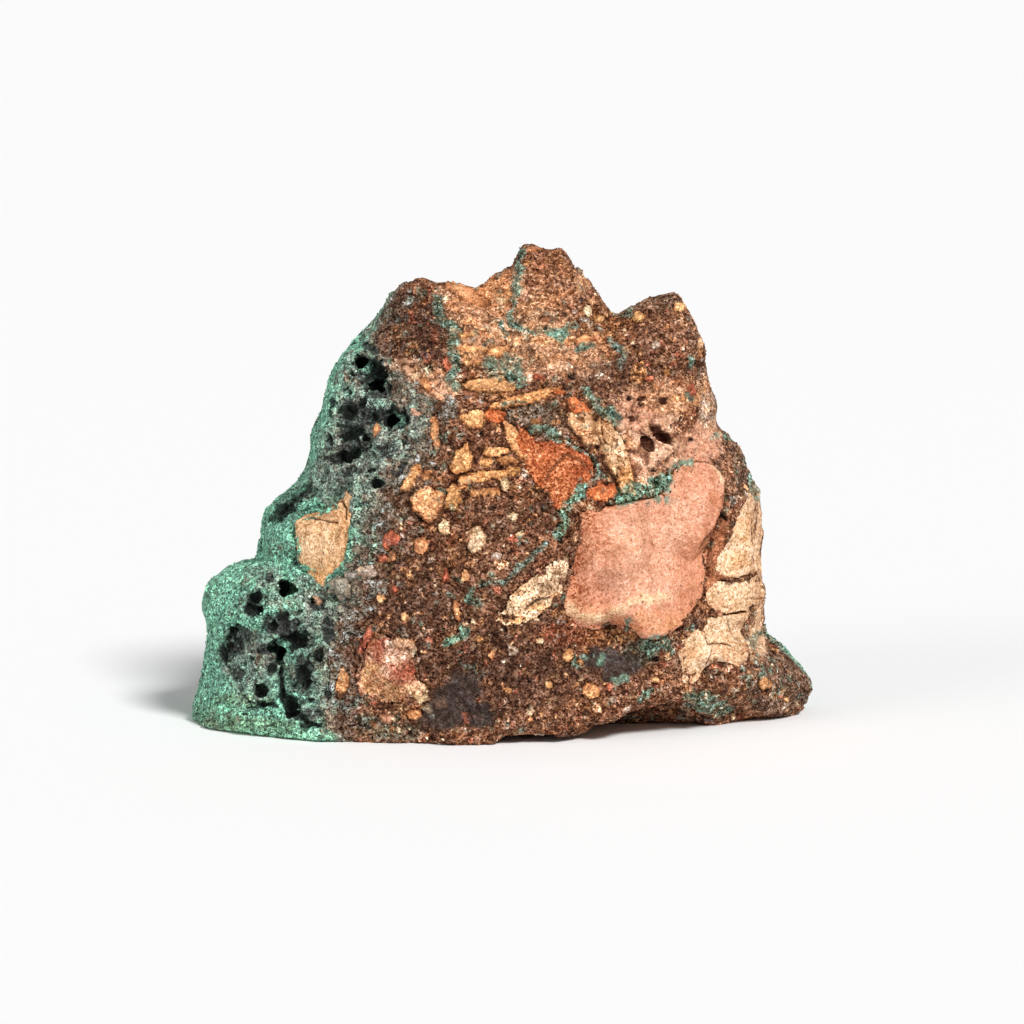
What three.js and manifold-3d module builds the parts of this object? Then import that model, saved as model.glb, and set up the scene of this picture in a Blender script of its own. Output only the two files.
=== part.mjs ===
// Aragonite on malachite: a broken cabinet specimen that stands on its flattest edge.
// Millimetres, +Z up. The broken face looks along -Y; malachite covers the left flank and the back.
import * as THREE from 'three';
import { ImprovedNoise } from 'three/addons/math/ImprovedNoise.js';
import { mergeVertices } from 'three/addons/utils/BufferGeometryUtils.js';
import Module from 'manifold-3d';

const wasm = await Module();
wasm.setup();

// ---- driving sizes ----
const GAP = 0.3;            // clearance between neighbouring bodies
const CORE = [-2, 20];      // x, z of the point that the whole outline can be seen from
const RIM_Y = 2;            // depth at which the outline is widest, with its wander
const RIM_WANDER = 5;
const RIM_ROUGHNESS = 0.25; // share of the roughness that is left at the outline
const FACE_POWER = 3.5;     // how boxy the section is: 2 is an ellipse. The face meets the sides at an edge,
const BACK_POWER = 2.5;     // the back is round
const ROCK_DETAIL = 14;
const SETTLING_ROUNDS = 1;
const TOLERANCE = 0.13;     // of the final meshes
const ROUND_ABOVE = 2.6;    // half width times half height from which a lump or hollow is round, not angular
const BLUNTING = 0.022;     // turn, in radians, over which the outline's corners are rounded
const CRUST = 7;            // malachite thickness on the back, at the foot
const CRUST_TOP = 3.5;      // and at the ridge
const RIDGE_Z = 86;
const REACH = 60;           // how far the cutting bodies run past the rock

// outline of the specimen seen from the front, [x, z]; it runs on below z = 0, where the base is cut
const OUTLINE = [
  [-55, -12], [-56, 1], [-55, 4.5], [-54, 8.5], [-53, 14], [-53, 17.5], [-54, 20], [-53.5, 23], [-51.5, 27],
  [-48, 29], [-43.5, 28], [-44, 31.5], [-43, 35], [-42.5, 37.5], [-40.5, 40], [-37.5, 42], [-35.5, 45],
  [-34.5, 48.5], [-34, 52], [-32.5, 56], [-31.5, 60.5], [-30, 64], [-27.5, 67.5], [-24.5, 71], [-22, 73.5],
  [-20, 77], [-18.5, 79.5], [-15, 81], [-12, 79.5], [-9.5, 79.5], [-6.5, 78], [-4, 77.5], [-1.5, 79.5],
  [1.5, 82.5], [3, 85], [3.5, 88], [6, 88], [8.5, 86], [10, 87], [12, 84], [14, 82], [16, 79], [17.5, 76],
  [18.5, 73.5], [20.5, 71], [22.5, 74.5], [25.5, 77], [30, 79], [32, 79], [33, 75], [34.5, 72], [36, 68.5],
  [37, 66.5], [37, 63], [37.5, 60], [38.5, 57.5], [38.5, 53], [41, 51.5], [43, 49], [44, 46.5], [45, 44],
  [46.5, 41.5], [47, 38.5], [47, 28.5], [47, 25], [47.5, 23], [47.5, 17.5], [48, 15], [51, 12.5], [53.5, 9.5],
  [55.5, 7], [56, 4.5], [54.5, 1], [52, -12],
];

// depth of the broken face and of the back, at rows of z and columns of x
const COLUMNS = [-56, -40, -20, 0, 20, 40, 56];
const ROWS = [0, 20, 40, 60, 75, 88];
const FRONT = [
  [-12, -24, -30, -30, -25, -15, -4],
  [-12, -21, -27, -28, -26, -19, -5],
  [-9, -18, -25, -27, -25, -18, -5],
  [-5, -11, -20, -22, -21, -13, -5],
  [-1, -5, -13, -15, -13, -8, -3],
  [0, -3, -7, -9, -7, -5, -1],
];
const BACK = [
  [14, 27, 34, 35, 31, 24, 12],
  [13, 25, 31, 33, 30, 22, 11],
  [10, 19, 26, 28, 25, 17, 9],
  [7, 13, 19, 21, 19, 13, 7],
  [5, 9, 14, 15, 14, 11, 6],
  [4, 7, 10, 11, 10, 8, 5],
];

// swells and hollows of the broken face: [x, z, radius, rise]
const SWELLS = [
  [3, 22, 20, 1.8], [-12, 52, 9, 1.5], [10, 78, 8, 1.8], [28, 66, 10, 1.6], [-44, 14, 9, 2.2], [-48, 22, 6, 2],
  [-34, 50, 6, 1.6], [-30, 61, 6, 1.8], [-22, 44, 6, 1.4], [42, 47, 5, 2.4], [50, 6, 6, 1.8], [-4, 6, 9, 2],
  [-1, 64, 9, -1.8], [27, 55, 7, -1.6], [-25, 64, 5, -2.4], [-39, 39, 4, -2.6], [-24, 7, 6, -1.6],
  [9, 48, 8, -1.2], [38, 36, 3.5, -1.6], [14, 6, 7, -1.8], [-9, 71, 7, 1.4], [-35, 22, 5, -1.6],
];
// ledge that crosses the face: the band above it stands back
const LEDGE = { z: 61, from: -16, to: 24, step: 2.2, width: 3 };
// undercut of the lower front edge: [x, height of its ceiling]
const UNDERCUT = [
  [-70, -12], [-7, -12], [-3, -1], [0, 1.5], [6, 2.2], [10, 1.5], [13, 0.6], [16, 2], [20, 3.4], [28, 5],
  [33, 6.5], [38, 7], [41, 3], [44, 1.6], [50, 1], [57, 0.6], [70, 0],
];
const UNDERCUT_FROM = -12;
const UNDERCUT_TO = 2;
const OUTLINE_FLOOR = -12;

// mineral bodies set in the face: outline [x, z], how deep they sit and how far they swell out
const BODIES = {
  salmon_mass: { depth: 11, dome: 1.8, outline: [
    [13.6, 42], [20.4, 42.4], [27.8, 43.4], [29.8, 44.8], [30.8, 47.8], [33.4, 48.6], [36.8, 50], [38.6, 48.4],
    [40, 45.6], [40.4, 43], [38.4, 39], [37.2, 35.4], [36.4, 28.2], [35.6, 24.6], [33.8, 21.8], [30.6, 19.4],
    [26.6, 18.4], [24.6, 18.6], [23, 20.6], [19.8, 20.6], [16.6, 19.8], [13.4, 20.8], [11.4, 23.2], [11, 25.8],
    [11.8, 29], [12.6, 32.6], [13.6, 36.2], [14, 39.2]] },
  orange_mass: { depth: 7, dome: 0.8, outline: [
    [3.2, 55.6], [5.8, 54], [8.6, 53.6], [11.8, 52.8], [14.6, 51.6], [16.2, 49.4], [16.2, 47.2], [14.6, 46],
    [13.8, 44.4], [11.8, 42.6], [10, 41.6], [8.8, 42.4], [8, 44.2], [5.8, 46.2], [4, 48.8], [3.2, 51.4],
    [2.2, 53.8]] },
  cream_wedge: { depth: 6, dome: 1.4, outline: [
    [-1.4, 22.6], [0.8, 24.4], [1.4, 27], [3.2, 28.6], [5.8, 30.2], [8.2, 32], [11.4, 34], [12.2, 33],
    [11, 29], [10.3, 26.2], [8.2, 24.8], [5.8, 23.2], [2.8, 21.8], [0.2, 21.8]] },
  tan_slab_lower: { depth: 5, dome: 0.9, outline: [
    [17, 57.4], [19.4, 56.2], [21.2, 53.6], [22.4, 50.2], [23.4, 46.8], [22.8, 44.4], [21, 44.4], [20.4, 47.2],
    [19.6, 49.8], [18.8, 52.6], [18, 54.8]] },
  tan_slab_upper: { depth: 5, dome: 0.9, outline: [
    [10.4, 57.4], [11.6, 59], [13.6, 58.4], [15.8, 56.8], [17.6, 54.6], [18.2, 52.6], [17, 52.4], [14.8, 53.8],
    [12.2, 55]] },
  cream_fragment: { depth: 8, dome: 1, outline: [
    [-37, 39], [-35.8, 40], [-33.6, 40.2], [-31.4, 41.4], [-29.2, 42.6], [-28.2, 44.4], [-27, 43.4],
    [-27, 36.8], [-27.8, 32], [-29.6, 30.4], [-30.8, 29], [-31.6, 27.4], [-32.6, 27.2], [-33.4, 28.4],
    [-36.8, 30], [-37.6, 31.8], [-37.8, 37.2]] },
  rusty_fragment: { depth: 7, dome: 1.2, outline: [
    [-23.4, 19.2], [-20.8, 20], [-18.2, 18.4], [-15.6, 16.6], [-14.8, 14.6], [-15.4, 12.2], [-13, 10.4],
    [-14.8, 8.8], [-18.4, 7.4], [-20.6, 7], [-24.8, 8.4], [-26, 10.2], [-26.2, 12], [-25, 13.8]] },
  cream_block_top: { depth: 16, dome: 0.8, outline: [
    [45, 43.4], [50, 44.5], [54, 40], [54, 27.4], [43.8, 27.6], [41, 27.6], [38.8, 28.4], [38, 30],
    [38.8, 31.6], [40.4, 33.8], [41.6, 36.4], [42.4, 39], [43.4, 41.4]] },
  cream_block_middle: { depth: 16, dome: 0.8, outline: [
    [38.6, 27.2], [42, 26.8], [54, 26.8], [54, 21.2], [43.8, 21.4], [41, 21.4], [38.8, 22], [36.8, 23.2],
    [36.4, 24.6], [36.8, 26.4]] },
  cream_block_bottom: { depth: 16, dome: 0.8, outline: [
    [36.8, 20.8], [43.8, 20.8], [54, 20.6], [54, 17.6], [47, 15], [44.2, 12.4], [42.4, 11.6], [40.4, 12.6],
    [38.2, 13], [36, 12], [35, 10], [33.8, 9], [32.2, 9.6], [32, 12.4], [31.4, 14.8], [31.4, 17], [32.8, 18.2],
    [35, 19.2]] },
};

// left boundary of the breccia against the malachite, [x, z], top to bottom
const CONTACT = [
  [-16, 90], [-17, 81], [-19, 78], [-21, 74], [-23, 70], [-21, 66], [-17, 63], [-13, 60], [-13, 54], [-17, 49],
  [-21, 45], [-23, 39], [-24, 32], [-25, 25], [-28.5, 21], [-30, 16], [-30, 7], [-28, 0], [-27, -14],
];

// small fragments fused in the breccia: [x, z, half width, half height, turn in degrees, how proud]
const FRAGMENTS = [
  [-13.3, 42.2, 2.9, 2.5, 10, 1], [-9, 43.2, 1.3, 2, -20, 0.8], [-15.8, 46.6, 0.9, 2.6, -35, 0.8],
  [-7.2, 50.4, 1.6, 2.7, 15, 0.9], [-12, 54.6, 0.8, 3.3, 4, 0.8], [-4.4, 46.4, 4, 0.9, 12, 0.8],
  [-10.4, 37.6, 1, 1.1, 0, 0.7], [-4.7, 35.8, 1.3, 2.5, -12, 0.9], [-14.4, 34.8, 1.1, 1.1, 0, 0.7],
  [-20, 35.4, 1.3, 1.3, 0, 0.8], [-28.6, 27.4, 1.8, 2, 0, 1], [-23.8, 30, 1.8, 1.1, 0, 0.8],
  [-10.3, 29.4, 0.8, 1.3, 0, 0.6], [-8, 22.8, 0.7, 1.9, 0, 0.7], [0.4, 46, 0.8, 1.1, 0, 0.6],
  [15.8, 8.4, 1.2, 1.7, 10, 0.8], [11.9, 14.4, 1, 1.1, 0, 0.7], [-28.8, 9.6, 1, 1.9, 0, 0.8],
  [-15.6, 4, 1.4, 1, 0, 0.7], [-4.8, 57.2, 2.3, 1.3, 10, 0.9], [3, 62, 7.5, 1, 6, 1], [-2, 63.6, 4.4, 1.1, 0, 1],
  [8.5, 60, 5, 0.9, 4, 0.9], [-9, 75.5, 3, 0.9, -24, 0.9], [1, 80, 2, 1.4, 30, 0.9], [13.4, 80, 1, 2.4, 25, 0.8],
  [31, 74.5, 1.3, 0.8, 0, 0.7], [24.4, 72.4, 1.1, 0.9, 0, 0.7], [14.6, 68, 1.1, 1.2, 0, 0.7],
  [17.5, 43.6, 2.4, 0.7, 0, 0.6], [-9.8, 64, 0.8, 1.3, 0, 0.7], [47, 7.6, 1.2, 1.2, 0, 0.7],
];

// hollows in the malachite and the breccia: [x, z, half width, half height, turn in degrees, depth]
const VUGS = [
  [-39, 25.6, 1.6, 1.8, 0, 4], [-44.8, 23.6, 1.3, 0.9, 0, 3], [-45.4, 21, 1.4, 1.2, 0, 3],
  [-47.8, 17, 0.9, 3.2, 22, 3], [-40.2, 15.6, 3, 1.7, 0, 4], [-36.2, 9, 2.3, 1.9, 0, 4],
  [-39.8, 9.6, 0.6, 3.4, 0, 3.5], [-37.4, 5, 1.6, 2.2, 0, 3.5], [-43, 7, 1.1, 1.3, 0, 3],
  [-39.4, 38.4, 1.4, 1.9, 0, 3.5], [-35.6, 42, 0.8, 3.6, -52, 3], [-31, 46.4, 0.8, 3.2, -60, 3],
  [-25.4, 65.4, 1.5, 2.2, 30, 4], [-22, 63.2, 2.2, 1.2, -20, 3.5], [-20.4, 65.8, 1.1, 0.9, 0, 2.5],
  [-18.4, 57, 1.5, 1.9, 15, 3.5], [-25, 58.6, 1, 1.5, 0, 3], [-28.2, 56.8, 1.4, 1.3, 0, 3],
  [-30.6, 57, 0.6, 1.1, 0, 2.5], [-27.4, 52.6, 2, 1.1, 10, 3], [-26.4, 49.2, 2.1, 1.1, 0, 3],
  [-22.2, 44.2, 0.9, 0.8, 0, 2], [13.9, 44.8, 0.6, 1, 0, 2], [26.8, 51.4, 1.3, 1, 0, 2.5],
  [28.5, 54.4, 1, 0.9, 0, 2], [38.6, 37, 1.4, 0.4, 0, 2.5], [2.4, 72.2, 1, 0.5, 0, 2], [0.6, 66, 1.8, 1, 0, 2],
  [12.8, 64.4, 0.9, 0.9, 0, 2],
];

const COLOURS = {
  host_breccia: 0x6e4e3e, malachite_crust: 0x4f9274, salmon_mass: 0xd69678, orange_mass: 0xc86e46,
  cream_wedge: 0xe1c096, cream_fragment: 0xdfbf98, tan_slab_upper: 0xc8965f, tan_slab_lower: 0xcfa878,
  rusty_fragment: 0xc47c5c, cream_block_top: 0xd9bb92, cream_block_middle: 0xdcc09a, cream_block_bottom: 0xd8b88e,
};

const noise = new ImprovedNoise();

// ---- small helpers ----
function lerp(a, b, t) {
  return a + (b - a) * t;
}

function smooth(from, to, value) {
  const t = Math.min(1, Math.max(0, (value - from) / (to - from)));
  return t * t * (3 - 2 * t);
}

// where a value lies in a sorted list: the step's index and the share of the step
function locate(list, value) {
  const held = Math.min(list[list.length - 1], Math.max(list[0], value));
  let index = 0;
  while (index < list.length - 2 && list[index + 1] <= held) index += 1;
  return [index, (held - list[index]) / (list[index + 1] - list[index])];
}

function fromTable(table, x, z) {
  const [column, across] = locate(COLUMNS, x);
  const [row, up] = locate(ROWS, z);
  const low = lerp(table[row][column], table[row][column + 1], across);
  const high = lerp(table[row + 1][column], table[row + 1][column + 1], across);
  return lerp(low, high, up);
}

function alongLine(line, x) {
  const [index, share] = locate(line.map((point) => point[0]), x);
  return lerp(line[index][1], line[index + 1][1], share);
}

// distance from a centre to an outline in one direction
function radiusAt(outline, centre, angle) {
  const dx = Math.cos(angle);
  const dz = Math.sin(angle);
  let reach = 0;
  outline.forEach(([ax, az], index) => {
    const [bx, bz] = outline[(index + 1) % outline.length];
    const ex = bx - ax;
    const ez = bz - az;
    const cross = dx * ez - dz * ex;
    if (Math.abs(cross) < 1e-9) return;
    const along = ((ax - centre[0]) * ez - (az - centre[1]) * ex) / cross;
    const share = ((ax - centre[0]) * dz - (az - centre[1]) * dx) / cross;
    if (along > 0 && share >= 0 && share <= 1) reach = Math.max(reach, along);
  });
  return reach;
}

function middleOf(outline) {
  const sum = outline.reduce((total, point) => [total[0] + point[0], total[1] + point[1]], [0, 0]);
  return [sum[0] / outline.length, sum[1] / outline.length];
}

// an outline moved outwards by a clearance, corner by corner
function grown(outline, clearance) {
  const turn = Math.sign(THREE.ShapeUtils.area(outline.map(([x, z]) => new THREE.Vector2(x, z))));
  return outline.map(([x, z], index) => {
    const [px, pz] = outline[(index + outline.length - 1) % outline.length];
    const [nx, nz] = outline[(index + 1) % outline.length];
    const before = new THREE.Vector2(x - px, z - pz).normalize();
    const after = new THREE.Vector2(nx - x, nz - z).normalize();
    const out = new THREE.Vector2(before.y + after.y, -before.x - after.x).normalize();
    const spread = Math.max(0.5, out.dot(new THREE.Vector2(before.y, -before.x)));
    return [x + (turn * out.x * clearance) / spread, z + (turn * out.y * clearance) / spread];
  });
}

// ---- the rock's surfaces ----
function swellAt(x, z) {
  return SWELLS.reduce((total, [sx, sz, radius, rise]) => {
    const t = ((x - sx) ** 2 + (z - sz) ** 2) / radius ** 2;
    return total + rise * Math.exp(-2 * t);
  }, 0);
}

function ledgeAt(x, z) {
  const span = smooth(LEDGE.from - 8, LEDGE.from, x) * (1 - smooth(LEDGE.to, LEDGE.to + 8, x));
  const edge = LEDGE.z + 1.5 * noise.noise(x * 0.12, 3.7, 0);
  return LEDGE.step * span * smooth(edge, edge + LEDGE.width, z);
}

function domeAt(x, z) {
  let rise = 0;
  for (const { centre, outline, dome } of Object.values(BODIES)) {
    const away = Math.hypot(x - centre[0], z - centre[1]);
    const reach = radiusAt(outline, centre, Math.atan2(z - centre[1], x - centre[0]));
    if (away < reach) rise = Math.max(rise, dome * (1 - (away / reach) ** 4));
  }
  return rise;
}

function frontAt(x, z) {
  return fromTable(FRONT, x, z) - swellAt(x, z) + ledgeAt(x, z) - domeAt(x, z);
}

// the nearest of a scatter of points, one in each cell: its distance and its cell, both in cells
function nearestPoint(x, y, z, size) {
  const cell = [Math.floor(x / size), Math.floor(y / size), Math.floor(z / size)];
  let best = { away: 9 };
  for (let i = -1; i <= 1; i += 1) {
    for (let j = -1; j <= 1; j += 1) {
      for (let k = -1; k <= 1; k += 1) {
        const [cx, cy, cz] = [cell[0] + i, cell[1] + j, cell[2] + k];
        const dx = x / size - (cx + 0.5 + 0.8 * noise.noise(cx * 1.37 + 0.3, cy * 1.71, cz * 1.13));
        const dy = y / size - (cy + 0.5 + 0.8 * noise.noise(cx * 1.53 + 9, cy * 1.19, cz * 1.41));
        const dz = z / size - (cz + 0.5 + 0.8 * noise.noise(cx * 1.27, cy * 1.61 + 5, cz * 1.83));
        const away = Math.hypot(dx, dy, dz);
        if (away < best.away) best = { away, cx, cy, cz, dx, dy, dz };
      }
    }
  }
  return best;
}

// rounded grape-like swellings of the malachite
function grapes(x, y, z, size) {
  return 0.7 - Math.min(1, nearestPoint(x, y, z, size).away) ** 2;
}

// flat chips of a broken surface: each scattered point carries a tilted plane of its own
function chips(x, y, z, size) {
  const { cx, cy, cz, dx, dy, dz } = nearestPoint(x, y, z, size);
  const tilt = (step) => 1.6 * noise.noise(cx * 0.83 + step, cy * 0.71 + 2 * step, cz * 0.91 + 0.4);
  return 0.8 * tilt(1.3) + tilt(3.1) * dx + tilt(5.7) * dy + tilt(8.3) * dz;
}

// share of malachite in the outer surface: the left flank and all of the back
function malachiteShare(x, y, z) {
  const contact = alongLine([...CONTACT].reverse().map(([cx, cz]) => [cz, cx]), z);
  return Math.max(smooth(contact + 1, contact - 2, x), smooth(8, 12, y));
}

function roughness(x, y, z) {
  const share = malachiteShare(x, y, z);
  const wander = noise.noise(x * 0.11 + 7, y * 0.11, z * 0.11);
  const rounded = 5 * grapes(x, y, z, 13) + 2.4 * grapes(x + 40, y, z, 7);
  const broken = 3 * chips(x, y, z, 12) + 1.6 * chips(x + 30, y, z, 7);
  return wander + lerp(broken, y > 4 ? rounded : 0.5 * rounded, share);
}

// the lower front edge is broken away to a ceiling
function undercut(x, y, z) {
  const share = smooth(UNDERCUT_TO, UNDERCUT_FROM, y);
  return Math.max(z, lerp(OUTLINE_FLOOR, alongLine(UNDERCUT, x), share));
}

// reach of the whole outline, with its corners rounded
function outlineReach(angle) {
  const turns = [-1, -0.5, 0, 0.5, 1];
  const reaches = turns.map((turn) => radiusAt(OUTLINE, CORE, angle + turn * BLUNTING));
  return reaches.reduce((total, reach) => total + reach) / turns.length;
}

function rimAt(angle) {
  return RIM_Y + RIM_WANDER * noise.noise(1.6 * Math.cos(angle), 1.6 * Math.sin(angle), 0.5);
}

function rockPoint(direction) {
  const angle = Math.atan2(direction.z, direction.x);
  const flat = Math.hypot(direction.x, direction.z);
  const lift = Math.abs(direction.y);
  const power = direction.y < 0 ? FACE_POWER : BACK_POWER;
  const scale = (flat ** power + lift ** power) ** (-1 / power);
  const reach = outlineReach(angle) * flat * scale;
  const x = CORE[0] + reach * Math.cos(angle);
  const z = CORE[1] + reach * Math.sin(angle);
  const face = direction.y < 0 ? frontAt(x, z) : fromTable(BACK, x, z);
  return [x, lerp(rimAt(angle), face, lift * scale), z];
}

// ---- solids ----
function solidOf(geometry) {
  const bare = geometry.clone();
  bare.deleteAttribute('normal');
  bare.deleteAttribute('uv');
  const merged = mergeVertices(bare, 1e-4);
  return new wasm.Manifold(new wasm.Mesh({
    numProp: 3,
    vertProperties: new Float32Array(merged.attributes.position.array),
    triVerts: new Uint32Array(merged.index.array),
  }));
}

// the largest body of a solid, without the crumbs that a cut leaves
function mainBody(solid) {
  return solid.decompose().reduce((best, body) => (body.volume() > best.volume() ? body : best));
}

// evens out the triangles: each vertex moves half way to the middle of its neighbours
function settle(geometry) {
  const { position } = geometry.attributes;
  const index = geometry.index.array;
  for (let round = 0; round < SETTLING_ROUNDS; round += 1) {
    const sums = new Float32Array(position.count * 4);
    for (let i = 0; i < index.length; i += 1) {
      const next = index[i - (i % 3) + ((i + 1) % 3)];
      sums[4 * index[i]] += position.getX(next);
      sums[4 * index[i] + 1] += position.getY(next);
      sums[4 * index[i] + 2] += position.getZ(next);
      sums[4 * index[i] + 3] += 1;
    }
    for (let i = 0; i < position.count; i += 1) {
      const [x, y, z, count] = sums.subarray(4 * i, 4 * i + 4);
      position.setX(i, (position.getX(i) + x / count) / 2);
      position.setY(i, (position.getY(i) + y / count) / 2);
      position.setZ(i, (position.getZ(i) + z / count) / 2);
    }
  }
}

// the whole specimen: a ball drawn out to the outline, roughened square to its surface, its base cut flat
function makeRock() {
  const ball = new THREE.IcosahedronGeometry(1, ROCK_DETAIL);
  ball.deleteAttribute('normal');
  ball.deleteAttribute('uv');
  const geometry = mergeVertices(ball, 1e-5);
  const positions = geometry.attributes.position;
  const point = new THREE.Vector3();
  for (let i = 0; i < positions.count; i += 1) {
    point.fromBufferAttribute(positions, i).normalize();
    positions.setXYZ(i, ...rockPoint(point));
  }
  settle(geometry);
  geometry.computeVertexNormals();
  const normal = new THREE.Vector3();
  for (let i = 0; i < positions.count; i += 1) {
    point.fromBufferAttribute(positions, i);
    normal.fromBufferAttribute(geometry.attributes.normal, i);
    const rim = Math.abs(normal.y);
    point.addScaledVector(normal, roughness(point.x, point.y, point.z) * lerp(RIM_ROUGHNESS, 1, rim));
    positions.setXYZ(i, point.x, point.y, undercut(point.x, point.y, point.z));
  }
  return solidOf(geometry).trimByPlane([0, 0, 1], 0);
}

// a body with an outline in x and z, from far in front of the face back to a depth
function outlineBody(outline, backY, taper) {
  const shape = new THREE.Shape(outline.map(([x, z]) => new THREE.Vector2(x, z)));
  const geometry = new THREE.ExtrudeGeometry(shape, {
    depth: backY + REACH - taper,
    bevelEnabled: taper > 0,
    bevelThickness: taper,
    bevelSize: taper * 0.5,
    bevelOffset: -taper * 0.5,
    bevelSegments: 1,
  });
  geometry.rotateX(Math.PI / 2);
  geometry.translate(0, backY - taper, 0);
  return solidOf(geometry);
}

function bodySolid({ outline, centre, depth }, clearance) {
  const backY = fromTable(FRONT, ...centre) + depth + clearance;
  return outlineBody(grown(outline, clearance), backY, 1.5);
}

// everything that is malachite: the left flank and a layer along the back
function malachiteSolid(clearance) {
  const flank = [...CONTACT, [-REACH * 1.5, -14], [-REACH * 1.5, 90]];
  const left = outlineBody(grown(flank, clearance), REACH, 0);
  const layer = new THREE.BoxGeometry(3 * REACH, REACH, 3 * REACH, 18, 1, 18);
  const positions = layer.attributes.position;
  for (let i = 0; i < positions.count; i += 1) {
    const x = positions.getX(i);
    const z = positions.getZ(i) + CORE[1];
    const thickness = lerp(CRUST, CRUST_TOP, smooth(10, RIDGE_Z, z));
    const wave = 1.4 * noise.noise(x * 0.09, z * 0.09, 2.4);
    const face = fromTable(BACK, x, z) - thickness + wave - clearance;
    positions.setXYZ(i, x, positions.getY(i) < 0 ? face : 2 * REACH, z);
  }
  return left.add(solidOf(layer));
}

// a lump or hollow: a rough ball, squeezed and turned in the face
function pebble([x, z, halfWidth, halfHeight, turn, halfDepth], shift) {
  const angle = Math.atan2(z - CORE[1], x - CORE[0]);
  const geometry = new THREE.IcosahedronGeometry(1, halfWidth * halfHeight > ROUND_ABOVE ? 1 : 0);
  geometry.scale(halfWidth, halfDepth, halfHeight);
  geometry.rotateY(-THREE.MathUtils.degToRad(turn));
  const share = Math.min(1, Math.hypot(x - CORE[0], z - CORE[1]) / radiusAt(OUTLINE, CORE, angle));
  const lift = (1 - share ** FACE_POWER) ** (1 / FACE_POWER);
  geometry.translate(x, lerp(rimAt(angle), frontAt(x, z), lift) + shift, z);
  return solidOf(geometry);
}

function union(solids) {
  return solids.reduce((total, solid) => total.add(solid));
}

function makeSpecimen() {
  const rock = makeRock();
  const fragments = union(FRAGMENTS.map((entry) => pebble([...entry.slice(0, 5), 2], 2 - entry[5])));
  const vugs = union(VUGS.map((entry) => pebble(entry, 0)));
  const solids = {};
  let taken = null;
  for (const [name, body] of Object.entries(BODIES)) {
    const own = rock.intersect(bodySolid(body, 0));
    solids[name] = mainBody(taken ? own.subtract(taken) : own);
    const pocket = bodySolid(body, GAP);
    taken = taken ? taken.add(pocket) : pocket;
  }
  const ground = rock.subtract(taken);
  solids.malachite_crust = mainBody(ground.intersect(malachiteSolid(0)).subtract(vugs));
  const matrix = ground.add(fragments.subtract(taken)).subtract(malachiteSolid(GAP));
  solids.host_breccia = mainBody(matrix.subtract(vugs));
  return solids;
}

function meshFrom(name, solid, shift) {
  const { vertProperties, triVerts } = solid.simplify(TOLERANCE).getMesh();
  const geometry = new THREE.BufferGeometry();
  geometry.setAttribute('position', new THREE.BufferAttribute(vertProperties, 3));
  geometry.setIndex(new THREE.BufferAttribute(triVerts, 1));
  geometry.translate(...shift);
  geometry.computeVertexNormals();
  const mesh = new THREE.Mesh(geometry, new THREE.MeshStandardMaterial({
    color: COLOURS[name], roughness: 0.9, metalness: 0,
  }));
  mesh.name = name;
  return mesh;
}

// the specimen stands on z = 0 with the middle of its box over the origin
function assemble() {
  for (const body of Object.values(BODIES)) body.centre = middleOf(body.outline);
  const solids = makeSpecimen();
  const box = new THREE.Box3();
  for (const solid of Object.values(solids)) {
    const { min, max } = solid.boundingBox();
    box.expandByPoint(new THREE.Vector3(...min)).expandByPoint(new THREE.Vector3(...max));
  }
  const middle = box.getCenter(new THREE.Vector3());
  const group = new THREE.Group();
  for (const [name, solid] of Object.entries(solids)) {
    group.add(meshFrom(name, solid, [-middle.x, -middle.y, 0]));
  }
  return group;
}

export default assemble();
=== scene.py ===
"""Aragonite on malachite specimen: the surfaces of its stones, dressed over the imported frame.

Lengths are millimetres while a stone is being made, and metres once it is finished.
"""

import math

import bmesh
import bpy
import numpy as np
from bpy.props import FloatProperty, FloatVectorProperty, PointerProperty
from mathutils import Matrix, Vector
from mathutils.bvhtree import BVHTree


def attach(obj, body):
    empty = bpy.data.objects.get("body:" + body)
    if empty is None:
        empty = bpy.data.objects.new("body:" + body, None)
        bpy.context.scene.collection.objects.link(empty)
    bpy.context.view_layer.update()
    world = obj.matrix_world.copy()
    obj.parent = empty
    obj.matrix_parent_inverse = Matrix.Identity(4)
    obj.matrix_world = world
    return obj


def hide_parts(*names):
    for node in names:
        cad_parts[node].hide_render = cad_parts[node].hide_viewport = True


bl_info = {
    "name": "Aragonite on malachite specimen",
    "version": (1, 0, 0),
    "blender": (4, 5, 0),
    "location": "3D View > Sidebar > Specimen",
    "description": "Makes the stones of a broken aragonite and malachite specimen",
    "category": "Object",
}

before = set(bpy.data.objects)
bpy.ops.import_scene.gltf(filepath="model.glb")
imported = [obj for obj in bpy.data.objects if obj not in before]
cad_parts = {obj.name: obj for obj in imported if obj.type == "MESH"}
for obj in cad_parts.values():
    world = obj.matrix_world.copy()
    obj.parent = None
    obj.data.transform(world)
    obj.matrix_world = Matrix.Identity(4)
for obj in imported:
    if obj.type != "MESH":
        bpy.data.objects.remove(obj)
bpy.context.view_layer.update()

BODY = "root"
MM = 0.001
# The dice start from this. Every pattern of noise has a seed of its own, so that no two fall together.
SEED = 11

# The broken face is laid out on a plane that leans back by this much: across it is X, and up it is mostly Z.
LEAN = math.radians(8)
TOWARDS_VIEWER = (0.0, -math.cos(LEAN), math.sin(LEAN))
# What the eye looks at, and how far away the eye is, in millimetres.
EYE_TARGET = (2.2, -10.0, 38.8)
EYE_DISTANCE = 1024.0

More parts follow.
